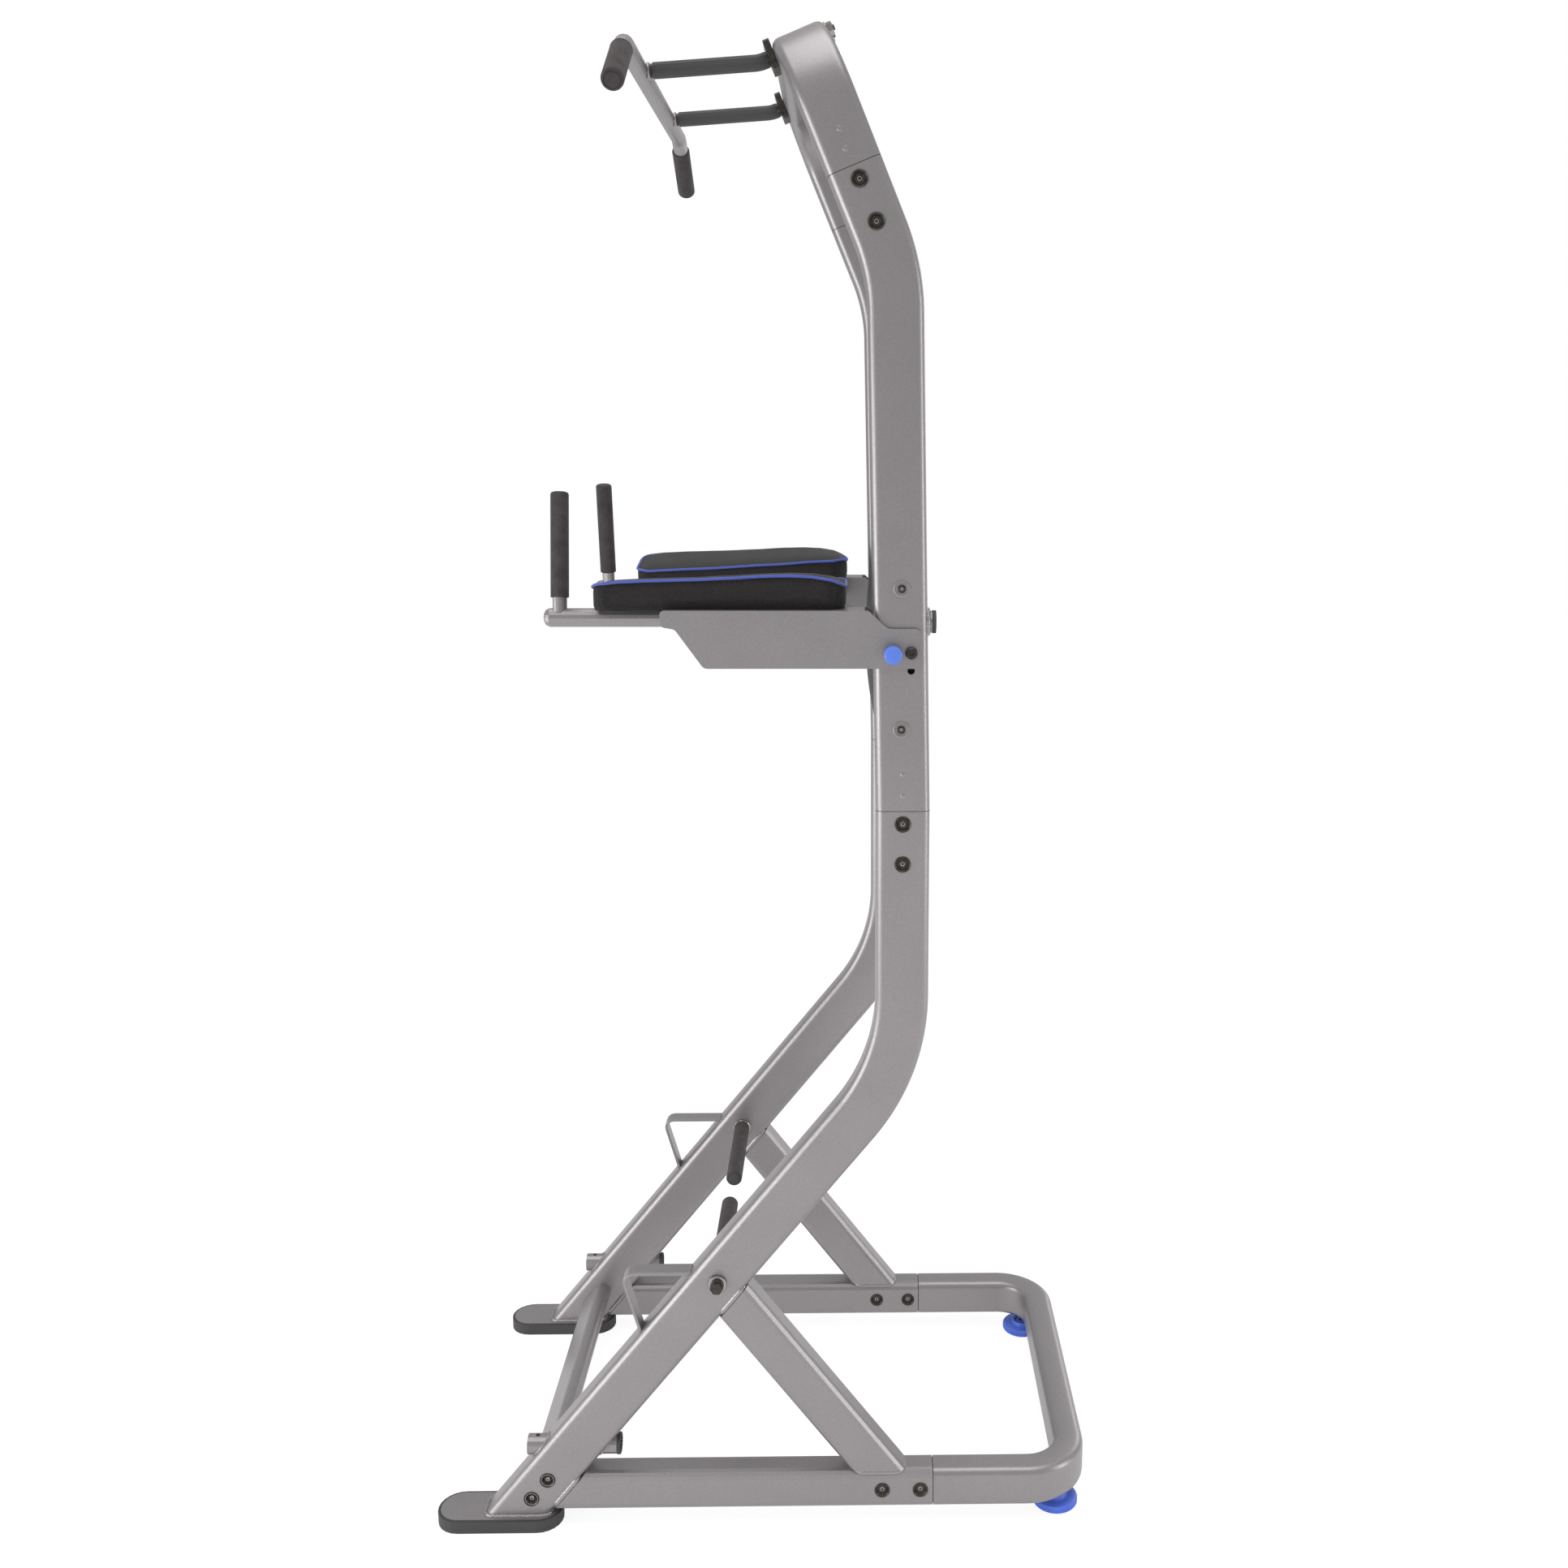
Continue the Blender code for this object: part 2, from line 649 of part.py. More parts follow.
def mid_spigot(side):
    joint = Vector((side * HALF_SPACING, 0, MID_JOINT_Z))
    path = [joint - Z_AXIS * SPIGOT_IN, joint, joint + UPRIGHT_RISE * SPIGOT_OUT]
    return spigot(f"mid_spigot_{side_name(side)}", path, TUBE_WIDTH, TUBE_DEPTH,
                  mid_bolts(side), side, X_AXIS)


def upper_spigot(side):
    x = side * HALF_SPACING
    path = [crown_point(x, UPPER_JOINT_RISE - UPPER_SPIGOT_IN),
            crown_point(x, UPPER_JOINT_RISE + UPPER_SPIGOT_OUT)]
    return spigot(f"upper_spigot_{side_name(side)}", path, TUBE_WIDTH, TUBE_DEPTH,
                  upper_bolts(side), side, X_AXIS)


def rear_spigot(side):
    joint = Vector((side * HALF_SPACING, REAR_JOINT_Y, RAIL_Z))
    path = [joint - Y_AXIS * SPIGOT_IN, joint + Y_AXIS * REAR_SPIGOT_OUT]
    return spigot(f"rear_spigot_{side_name(side)}", path, TUBE_WIDTH, RAIL_DEPTH,
                  rear_bolts(side), side, X_AXIS)


def rear_base():
    """The U-bent tube that closes the frame behind, on its two levelling feet."""
    name = "rear_base"
    corners = [Vector((HALF_SPACING, REAR_JOINT_Y, RAIL_Z)),
               Vector((HALF_SPACING, REAR_BASE_Y, RAIL_Z)),
               Vector((-HALF_SPACING, REAR_BASE_Y, RAIL_Z)),
               Vector((-HALF_SPACING, REAR_JOINT_Y, RAIL_Z))]
    outer, inner = tube_outlines(RAIL_DEPTH, TUBE_WIDTH, TUBE_CORNER, TUBE_WALL)
    path = rounded_path(corners, REAR_CORNER_RADIUS)
    obj = new_object(name, swept(name, path, Z_AXIS, outer, inner), painted_steel())
    holes = []
    for side in (1, -1):
        place = Vector((side * (HALF_SPACING - LEVELLER_INSET), LEVELLER_Y, 0))
        holes.append(rod(f"{name}_stud_{side_name(side)}", place, place + Z_AXIS * RAIL_Z,
                         LEVELLER_STUD_RADIUS + FIT))
    return cut(obj, holes)


def levelling_foot(side):
    """The serrated disc with its raised hub and threaded stud."""
    name = f"levelling_foot_{side_name(side)}"
    rim, hub = LEVELLER_RADIUS, LEVELLER_STUD_RADIUS + 0.012
    profile = [(0, 0), (rim - 0.002, 0), (rim, 0.002), (rim, LEVELLER_DISC - 0.002),
               (rim - 0.002, LEVELLER_DISC), (hub + 0.003, LEVELLER_DISC),
               (hub, LEVELLER_HUB - 0.001), (hub - 0.001, LEVELLER_HUB),
               (LEVELLER_STUD_RADIUS, LEVELLER_HUB), (LEVELLER_STUD_RADIUS, LEVELLER_STUD_TOP),
               (0, LEVELLER_STUD_TOP)]
    place = Vector((side * (HALF_SPACING - LEVELLER_INSET), LEVELLER_Y, 0))
    empty = axis_empty(f"levelling_axis_{side_name(side)}", place)
    obj = new_object(name, turned(name, profile, place, Z_AXIS, 20), blue_plastic())
    ride_on(obj, empty)
    return obj


def low_socket(side):
    """The short tube through the leg that holds an accessory's peg."""
    name = f"low_socket_{side_name(side)}"
    x = side * HALF_SPACING
    path = [Vector((x, LOW_SOCKET_FRONT_Y, LOW_SOCKET_Z)),
            Vector((x, LOW_SOCKET_REAR_Y, LOW_SOCKET_Z))]
    obj = new_object(name, swept(name, path, Z_AXIS, round_outline(SOCKET_RADIUS),
                                 round_outline(SOCKET_RADIUS - SOCKET_WALL)), painted_steel())
    place = Vector((x, LOW_SOCKET_PIN_Y, LOW_SOCKET_Z))
    return cut(obj, [rod(f"{name}_pin", place, place + Z_AXIS * 0.03, SOCKET_PIN_RADIUS, 12)])


def rear_socket(side):
    """The short tube through the upright, open to the rear."""
    name = f"rear_socket_{side_name(side)}"
    x = side * HALF_SPACING
    path = [Vector((x, REAR_SOCKET_FRONT_Y, REAR_SOCKET_Z)),
            Vector((x, REAR_SOCKET_REAR_Y, REAR_SOCKET_Z))]
    mesh = swept(name, path, Z_AXIS, round_outline(SOCKET_RADIUS),
                 round_outline(SOCKET_RADIUS - SOCKET_WALL))
    return new_object(name, mesh, painted_steel())


def band_loop(side):
    """The bent flat bar in front of the leg that elastic bands hook round."""
    name = f"band_loop_{side_name(side)}"
    x = side * HALF_SPACING
    front = leg_point(side, LOOP_TOP_Z) - LEG_NORMAL * (TUBE_DEPTH / 2 + GAP)
    bend = Vector((x, LOOP_REACH_Y, LOOP_TOP_Z))
    low = Vector((x, 0, LOOP_LOW_Z))
    low.y = leg_point(side, LOOP_LOW_Z).y - TUBE_DEPTH / 2 / sin(LEG_ANGLE)
    path = rounded_path([Vector((x, leg_point(side, LOOP_TOP_Z).y, LOOP_TOP_Z)), bend, low],
                        LOOP_BEND_RADIUS)
    outline = rounded_outline(LOOP_WIDTH, LOOP_THICKNESS, 0.0012, 2)
    plane = (front, LEG_NORMAL)
    return new_object(name, swept(name, path, X_AXIS, outline, start_cut=plane, end_cut=plane),
                      painted_steel())


def low_handle_bar(side):
    """The stub bar inside the leg, with its flange, its bolt and the head outside."""
    name = f"low_handle_bar_{side_name(side)}"
    half = TUBE_WIDTH / 2
    profile = [(0, half + 0.0105), (LOW_HEAD_RADIUS - 0.001, half + 0.0105),
               (LOW_HEAD_RADIUS, half + 0.0095), (LOW_HEAD_RADIUS, half + GAP + 0.0025),
               (LOW_WASHER_RADIUS, half + GAP + 0.0025), (LOW_WASHER_RADIUS, half + GAP),
               (LOW_BOLT_RADIUS, half + GAP), (LOW_BOLT_RADIUS, -half - GAP),
               (LOW_FLANGE_RADIUS, -half - GAP), (LOW_FLANGE_RADIUS, -half - LOW_FLANGE),
               (LOW_HANDLE_RADIUS, -half - LOW_FLANGE),
               (LOW_HANDLE_RADIUS, LOW_HANDLE_TIP_X + 0.004 - HALF_SPACING),
               (0, LOW_HANDLE_TIP_X + 0.004 - HALF_SPACING)]
    mesh = turned(name, profile, leg_point(side, LOW_HANDLE_Z), X_AXIS * side)
    return new_object(name, mesh, dark_steel())


def grip_profile(length, bore, radius, end):
    """A sleeve with a closed, softly rounded end; the profile starts at the end's centre."""
    return [(0, length), (radius - 0.004, length), (radius - 0.0012, length - 0.0012),
            (radius, length - 0.004), (radius, 0.0008), (radius - 0.0008, 0), (bore, 0),
            (bore, length - end), (0, length - end)]


def low_handle_grip(side):
    name = f"low_handle_grip_{side_name(side)}"
    root = leg_point(side, LOW_HANDLE_Z)
    start = side * (INNER_FACE_X - GAP - LOW_FLANGE - 0.001)
    root.x = start
    profile = grip_profile(abs(start) - LOW_HANDLE_TIP_X, LOW_HANDLE_RADIUS + GAP,
                           LOW_GRIP_RADIUS, 0.0037)
    return new_object(name, turned(name, profile, root, -X_AXIS * side), black_foam())


def upright(side):
    """The upright, from the mid joint to the joint under the crown."""
    name = f"upright_{side_name(side)}"
    x = side * HALF_SPACING
    top = crown_point(x, UPPER_JOINT_RISE - GAP)
    low = Vector((x, 0, MID_JOINT_Z))
    path = rounded_path([low, crown_point(x, 0), top], CROWN_BEND_RADIUS)
    outer, inner = tube_outlines(TUBE_WIDTH, TUBE_DEPTH, TUBE_CORNER, TUBE_WALL)
    mesh = swept(name, path, X_AXIS, outer, inner, start_cut=(low, Z_AXIS))
    obj = new_object(name, mesh, painted_steel())
    holes = [bolt_hole(f"{name}_{i}", p) for i, p in enumerate(upper_bolts(side))]
    holes += [bolt_hole(f"{name}_back_{i}", Vector((x, BACKREST_BAR_Y, z)))
              for i, z in enumerate(BACKREST_BAR_ZS)]
    holes.append(bolt_hole(f"{name}_pivot", Vector((x, PIVOT_Y, PIVOT_Z)), PIVOT_RADIUS + FIT))
    for i, (back, down) in enumerate(((-PIN_REACH, 0), (0, -PIN_REACH))):
        place = Vector((side * OUTER_FACE_X, PIVOT_Y + back, PIVOT_Z + down))
        holes.append(rod(f"{name}_lock_{i}", place - X_AXIS * 0.012, place + X_AXIS * 0.012,
                         PIN_RADIUS + FIT, 16))
    socket = Vector((x, 0, REAR_SOCKET_Z))
    holes.append(rod(f"{name}_socket", socket, socket + Y_AXIS * TUBE_DEPTH,
                     SOCKET_RADIUS + GAP))
    return cut(obj, holes)


def flange_bolt_points(side):
    """Where the flange's bolts cross the crossbar's middle plane."""
    return [crown_point(side * NEUTRAL_X + shift, FLANGE_RISE)
            for shift in (-FLANGE_BOLT_SPREAD, FLANGE_BOLT_SPREAD)]


def top_arch():
    """The crown: one tube bent into an upside-down U that leans forward."""
    name = "top_arch"
    corners = [crown_point(HALF_SPACING, UPPER_JOINT_RISE),
               crown_point(HALF_SPACING, CROSSBAR_RISE),
               crown_point(-HALF_SPACING, CROSSBAR_RISE),
               crown_point(-HALF_SPACING, UPPER_JOINT_RISE)]
    outer, inner = tube_outlines(TUBE_DEPTH, TUBE_WIDTH, TUBE_CORNER, TUBE_WALL)
    path = rounded_path(corners, CROWN_CORNER_RADIUS)
    obj = new_object(name, swept(name, path, CROWN_NORMAL, outer, inner), painted_steel())
    holes = []
    for side in (1, -1):
        for i, place in enumerate(flange_bolt_points(side)):
            reach = CROWN_NORMAL * TUBE_DEPTH
            holes.append(rod(f"{name}_{side_name(side)}_{i}", place - reach, place + reach,
                             FLANGE_BOLT_RADIUS + FIT, 16))
    return cut(obj, holes)


def neutral_path(side):
    """From the flange square to the crown, then forward to the front bar."""
    x = side * NEUTRAL_X
    root = crown_point(x, FLANGE_RISE) - CROWN_NORMAL * (TUBE_DEPTH / 2 + GAP)
    corner = root - CROWN_NORMAL * (FLANGE_THICKNESS + NEUTRAL_RUN)
    return root, corner, Vector((x, FRONT_BAR_Y, FRONT_BAR_Z))


def neutral_bar(side):
    """A bar of the pull-up frame, with its flange and the bolts through the crown."""
    name = f"neutral_bar_{side_name(side)}"
    root, corner, front = neutral_path(side)
    path = rounded_path([root, corner, front], NEUTRAL_BEND_RADIUS)
    end = front - (front - corner).normalized() * (FRONT_BAR_RADIUS + 0.0008)
    path[-1] = end
    obj = new_object(name, swept(name, path, X_AXIS, round_outline(NEUTRAL_RADIUS, 12)),
                     dark_steel())
    plate = slab(f"{name}_flange", rounded_outline(FLANGE_WIDTH, FLANGE_SIZE, 0.006, 3),
                 FLANGE_THICKNESS, root, X_AXIS, CROWN_RISE)
    bolts = []
    for i, place in enumerate(flange_bolt_points(side)):
        half = TUBE_DEPTH / 2
        profile = [(0, half + FLANGE_NUT + 0.004), (FLANGE_BOLT_RADIUS, half + FLANGE_NUT + 0.004),
                   (FLANGE_BOLT_RADIUS, half + FLANGE_NUT), (FLANGE_NUT_RADIUS, half + FLANGE_NUT),
                   (FLANGE_NUT_RADIUS, half + GAP), (FLANGE_BOLT_RADIUS, half + GAP),
                   (FLANGE_BOLT_RADIUS, -half - FLANGE_THICKNESS),
                   (0.0065, -half - FLANGE_THICKNESS), (0.0065, -half - FLANGE_THICKNESS - 0.006),
                   (0, -half - FLANGE_THICKNESS - 0.006)]
        bolts.append(turned(f"{name}_bolt_{i}", profile, place, CROWN_NORMAL, BOLT_STEPS))
    return fuse(obj, [plate] + bolts)


def neutral_sleeve(side):
    """The rubber sleeve over the bar, clear of the flange and of the weld in front."""
    name = f"neutral_sleeve_{side_name(side)}"
    root, corner, front = neutral_path(side)
    start = root - CROWN_NORMAL * (FLANGE_THICKNESS + 0.003)
    end = front - (front - corner).normalized() * (FRONT_BAR_RADIUS + 0.006)
    path = rounded_path([start, corner, end], NEUTRAL_BEND_RADIUS)
    mesh = swept(name, path, X_AXIS, round_outline(SLEEVE_RADIUS, 12),
                 round_outline(NEUTRAL_RADIUS + FIT, 12))
    return new_object(name, mesh, black_rubber())


def front_bar_tip(side):
    bend = Vector((side * FRONT_BAR_BEND_X, FRONT_BAR_Y, FRONT_BAR_Z))
    droop = Vector((side * cos(FRONT_BAR_DROOP), 0, -sin(FRONT_BAR_DROOP)))
    return bend, droop, bend + droop * FRONT_BAR_END


def pull_up_bar():
    """The front bar, with both ends bent down for a wide grip."""
    name = "pull_up_bar"
    right_bend, _, right_tip = front_bar_tip(1)
    left_bend, _, left_tip = front_bar_tip(-1)
    path = rounded_path([right_tip, right_bend, left_bend, left_tip], FRONT_BAR_BEND_RADIUS)
    return new_object(name, swept(name, path, Y_AXIS, round_outline(FRONT_BAR_RADIUS),
                                  round_outline(FRONT_BAR_RADIUS - ARM_TUBE_WALL)),
                      painted_steel())


def pull_up_grip(side):
    name = f"pull_up_grip_{side_name(side)}"
    _, droop, tip = front_bar_tip(side)
    end = 0.0035
    start = tip + droop * (GAP + end - PULL_GRIP_LENGTH)
    profile = grip_profile(PULL_GRIP_LENGTH, FRONT_BAR_RADIUS + GAP, PULL_GRIP_RADIUS, end)
    return new_object(name, turned(name, profile, start, droop), black_foam())


def backrest_bar(level, z):
    """A cross bar between the uprights, with its bolt heads and the tabs for the board."""
    name = f"backrest_bar_{level}"
    place = Vector((0, BACKREST_BAR_Y, z))
    head = cup_profile(OUTER_FACE_X)
    half = head + [(CUP_BODY_RADIUS, INNER_FACE_X - GAP),
                   (BACKREST_BAR_RADIUS + 0.003, INNER_FACE_X - GAP),
                   (BACKREST_BAR_RADIUS + 0.003, INNER_FACE_X - GAP - 0.004),
                   (BACKREST_BAR_RADIUS, INNER_FACE_X - GAP - 0.004)]
    profile = half + [(radius, -along) for radius, along in reversed(half)]
    obj = new_object(name, turned(name, profile, place, X_AXIS, BOLT_STEPS), painted_steel())
    tabs = []
    tab = rounded_outline(BACKREST_TAB_WIDTH, BACKREST_TAB_HEIGHT, 0.004, 2)
    front_y = BACKREST_BAR_Y - BACKREST_BAR_RADIUS - BACKREST_TAB + 0.001
    for side in (1, -1):
        spot = Vector((side * BACKREST_WIDTH / 4, front_y + BACKREST_TAB, z))
        tabs.append(slab(f"{name}_tab_{side_name(side)}", tab, BACKREST_TAB, spot, X_AXIS,
                         Z_AXIS))
    return fuse(obj, tabs)


def backrest_board_rear_y():
    return BACKREST_BAR_Y - BACKREST_BAR_RADIUS - BACKREST_TAB + 0.001 - GAP


def backrest_board():
    name = "backrest_board"
    width = BACKREST_WIDTH - 2 * BACKREST_BOARD_INSET
    height = BACKREST_TOP_Z - BACKREST_LOW_Z - 2 * BACKREST_BOARD_INSET
    outline = rounded_outline(width, height, BACKREST_CORNER - BACKREST_BOARD_INSET, 6)
    place = Vector((0, backrest_board_rear_y(), (BACKREST_TOP_Z + BACKREST_LOW_Z) / 2))
    return new_object(name, slab(name, outline, BACKREST_BOARD, place, X_AXIS, Z_AXIS),
                      birch_board())


def backrest_pad():
    """The cushion on the board: crowned in front, with its sides drawn in."""
    name = "backrest_pad"
    rear = backrest_board_rear_y() - BACKREST_BOARD - GAP
    depth = rear - BACKREST_FRONT_Y
    height = BACKREST_TOP_Z - BACKREST_LOW_Z
    levels = ((0.0, 0.004), (0.12, 0.000), (0.45, 0.001), (0.72, 0.006), (0.90, 0.018),
              (0.98, 0.040), (1.0, 0.058))
    points, faces = [], []
    count = 4 * 7
    for share, inset in levels:
        outline = rounded_outline(BACKREST_WIDTH - 2 * inset, height - 2 * inset,
                                  max(BACKREST_CORNER - inset, 0.012), 6)
        points += [Vector((u, rear - depth * share, (BACKREST_TOP_Z + BACKREST_LOW_Z) / 2 + v))
                   for u, v in outline]
    faces = skin_faces(len(levels), 0, count)
    faces += [tuple(range(count)), tuple(range(len(points) - count, len(points)))]
    return new_object(name, mesh_of(name, points, faces), pad_cover())


def rounded_polygon(corners, radius, steps=4):
    """A closed outline whose (u, v, share) corners are rounded by radius * share."""
    points = []
    count = len(corners)
    for index, (u, v, share) in enumerate(corners):
        corner = Vector((u, v, 0))
        before = Vector((*corners[index - 1][:2], 0))
        after = Vector((*corners[(index + 1) % count][:2], 0))
        points += [(p.x, p.y) for p in rounded_path([before, corner, after], radius * share,
                                                    steps)[1:-1]]
    return points


def outer_cheek_outline():
    """The (y, z) outline of the big outer plate of the folding arm."""
    return rounded_polygon([(CHEEK_REAR_Y, CHEEK_LOW_Z, 1), (CHEEK_REAR_Y, CHEEK_BACK_TOP_Z, 1),
                            (CHEEK_NECK_Y - 0.010, CHEEK_BACK_TOP_Z, 1.5),
                            (WEB_REAR_Y, CHEEK_TOP_Z, 0.5), (CHEEK_NOSE_Y, CHEEK_TOP_Z, 0.6),
                            (CHEEK_NOSE_Y + 0.003, CHEEK_NOSE_Z, 0.6),
                            (CHEEK_NOSE_Y + 0.022, CHEEK_NOSE_Z - 0.003, 1),
                            (CHEEK_KNEE_Y, CHEEK_LOW_Z, 1)], 0.010)


def inner_cheek_outline():
    """The (y, z) outline of the inner plate, cut back to pass the backrest's bar."""
    return rounded_polygon([(CHEEK_REAR_Y, CHEEK_LOW_Z, 1), (CHEEK_REAR_Y, CHEEK_BACK_TOP_Z, 1),
                            (CHEEK_NECK_Y - 0.010, CHEEK_BACK_TOP_Z, 1.5),
                            (WEB_REAR_Y, CHEEK_TOP_Z, 0.5), (CHEEK_NOSE_Y, CHEEK_TOP_Z, 0.5),
                            (CHEEK_NOSE_Y, INNER_STRIP_Z, 0.5),
                            (INNER_STRIP_Y, INNER_STRIP_Z, 0.5),
                            (INNER_KNEE_REACH_Y, INNER_KNEE_Z, 0.5),
                            (INNER_KNEE_Y, CHEEK_LOW_Z, 1)], 0.010)


def lock_pin_place(side):
    return Vector((side * OUTER_FACE_X, PIVOT_Y - PIN_REACH, PIVOT_Z))


def arm_bracket(side, pivot):
    """The folded steel channel of the arm: two cheeks, the web on top, the pin's boss."""
    name = f"arm_bracket_{side_name(side)}"
    outer_place = Vector((OUTER_CHEEK_X if side > 0 else -OUTER_CHEEK_X - CHEEK, 0, 0))
    inner_x = INNER_CHEEK_X - CHEEK if side > 0 else -INNER_CHEEK_X
    obj = new_object(name, slab(name, outer_cheek_outline(), CHEEK, outer_place, Y_AXIS,
                                Z_AXIS), painted_steel())
    inner = slab(f"{name}_inner", inner_cheek_outline(), CHEEK, Vector((inner_x, 0, 0)), Y_AXIS,
                 Z_AXIS)
    span = (OUTER_CHEEK_X - INNER_CHEEK_X) + CHEEK
    length = WEB_REAR_Y - CHEEK_NOSE_Y - 0.010
    middle = Vector((side * HALF_SPACING, (WEB_REAR_Y + CHEEK_NOSE_Y) / 2, CHEEK_TOP_Z - WEB))
    web = slab(f"{name}_web", rounded_outline(span, length, 0.0005, 1), WEB - 0.0002, middle,
               X_AXIS, Y_AXIS)
    pin = lock_pin_place(side)
    face = pin + X_AXIS * side * (CHEEK_PLAY + CHEEK / 2)
    boss = rod(f"{name}_boss", face, face + X_AXIS * side * (BOSS_LENGTH + CHEEK / 2),
               BOSS_RADIUS)
    fuse(obj, [inner, web, boss])
    reach = X_AXIS * (TUBE_WIDTH + 0.02)
    centre = Vector((side * HALF_SPACING, PIVOT_Y, PIVOT_Z))
    cut(obj, [rod(f"{name}_pivot", centre - reach, centre + reach, PIVOT_RADIUS + FIT),
              rod(f"{name}_pin", pin, pin + X_AXIS * side * 0.05, PIN_RADIUS + FIT, 16)])
    ride_on(obj, pivot)
    return obj


def arm_tube(side, pivot):
    """The round tube beside the inner cheek, with the leaning post and the pad's saddle."""
    name = f"arm_tube_{side_name(side)}"
    x = side * ARM_TUBE_X
    tail = Vector((x, ARM_TAIL_Y, ARM_TUBE_Z))
    length = ARM_TAIL_Y - ARM_TIP_Y
    radius, bore = ARM_TUBE_RADIUS, ARM_TUBE_RADIUS - ARM_TUBE_WALL
    shell = [(0, length), (radius - 0.007, length), (radius - 0.0025, length - 0.0025),
             (radius, length - 0.008), (radius, 0), (bore, 0), (bore, length - 0.006),
             (0, length - 0.006)]
    obj = new_object(name, turned(name, shell, tail, -Y_AXIS), painted_steel())
    lean = Vector((-side * sin(POST_LEAN), 0, cos(POST_LEAN)))
    base = Vector((x, POST_Y, ARM_TUBE_Z + ARM_TUBE_RADIUS))
    post = rod(f"{name}_post", base - lean * 0.006, base + lean * POST_LENGTH, POST_RADIUS)
    saddle_low = Vector((x, SADDLE_Y, ARM_TUBE_Z + ARM_TUBE_RADIUS - 0.003))
    saddle = slab(f"{name}_saddle", rounded_outline(SADDLE_WIDTH, SADDLE_LENGTH, 0.003, 2),
                  CHEEK_TOP_Z - saddle_low.z, saddle_low, X_AXIS, Y_AXIS)
    fuse(obj, [post, saddle])
    ride_on(obj, pivot)
    return obj


def arm_grip(side, pivot):
    name = f"arm_grip_{side_name(side)}"
    lean = Vector((-side * sin(POST_LEAN), 0, cos(POST_LEAN)))
    base = Vector((side * ARM_TUBE_X, POST_Y, ARM_TUBE_Z + ARM_TUBE_RADIUS))
    end = 0.0035
    start = base + lean * (POST_LENGTH + GAP + end - HANDLE_GRIP_LENGTH)
    profile = grip_profile(HANDLE_GRIP_LENGTH, POST_RADIUS + GAP, HANDLE_GRIP_RADIUS, end)
    obj = new_object(name, turned(name, profile, start, lean), black_foam())
    ride_on(obj, pivot)
    return obj


def pad_outline(side, inset, steps=5):
    """The (x, y) plan of an arm pad, drawn in by the inset."""
    width = PAD_OUTER_X - PAD_INNER_X - 2 * inset
    length = PAD_REAR_Y - PAD_FRONT_Y - 2 * inset
    centre_x = side * (PAD_OUTER_X + PAD_INNER_X) / 2
    centre_y = (PAD_REAR_Y + PAD_FRONT_Y) / 2
    return [(centre_x + u, centre_y + v)
            for u, v in rounded_outline(width, length, max(PAD_CORNER - inset, 0.006), steps)]


def arm_pad_board(side, pivot):
    name = f"arm_pad_board_{side_name(side)}"
    place = Vector((0, 0, CHEEK_TOP_Z + GAP))
    obj = new_object(name, slab(name, pad_outline(side, PAD_BOARD_INSET), PAD_BOARD, place,
                                X_AXIS, Y_AXIS), birch_board())
    ride_on(obj, pivot)
    return obj


def arm_pad(side, pivot):
    """The forearm cushion: its top falls inwards and to the front, its sides draw in."""
    name = f"arm_pad_{side_name(side)}"
    low = CHEEK_TOP_Z + GAP + PAD_BOARD + GAP
    levels = ((0.0, 0.003), (0.18, 0.0), (0.62, 0.0015), (0.86, 0.004), (0.96, 0.011),
              (1.0, 0.024))
    points = []
    for share, inset in levels:
        for x, y in pad_outline(side, inset):
            outward = (abs(x) - PAD_INNER_X) / (PAD_OUTER_X - PAD_INNER_X)
            back = (y - PAD_FRONT_Y) / (PAD_REAR_Y - PAD_FRONT_Y)
            swell = 0.78 + 0.22 * sin(pi * (0.05 + 0.60 * back))
            height = (PAD_LOW + (PAD_HIGH - PAD_LOW) * outward) * swell
            points.append(Vector((x, y, low + (height - PAD_BOARD) * share)))
    count = len(pad_outline(side, 0))
    faces = skin_faces(len(levels), 0, count)
    faces += [tuple(range(count)), tuple(range(len(points) - count, len(points)))]
    obj = new_object(name, mesh_of(name, points, faces), pad_cover())
    ride_on(obj, pivot)
    return obj


def pivot_bolt(side):
    """The arm's pivot through the upright, with its head outside and its nut inside."""
    name = f"pivot_bolt_{side_name(side)}"
    outer = OUTER_CHEEK_X + CHEEK - HALF_SPACING + GAP
    inner = -outer
    profile = [(0, outer + PIVOT_HEAD), (PIVOT_HEAD_RADIUS - 0.001, outer + PIVOT_HEAD),
               (PIVOT_HEAD_RADIUS, outer + PIVOT_HEAD - 0.001), (PIVOT_HEAD_RADIUS, outer),
               (PIVOT_RADIUS, outer), (PIVOT_RADIUS, inner), (PIVOT_HEAD_RADIUS, inner),
               (PIVOT_HEAD_RADIUS, inner - PIVOT_HEAD), (0, inner - PIVOT_HEAD)]
    place = Vector((side * HALF_SPACING, PIVOT_Y, PIVOT_Z))
    return new_object(name, turned(name, profile, place, X_AXIS * side), dark_steel())


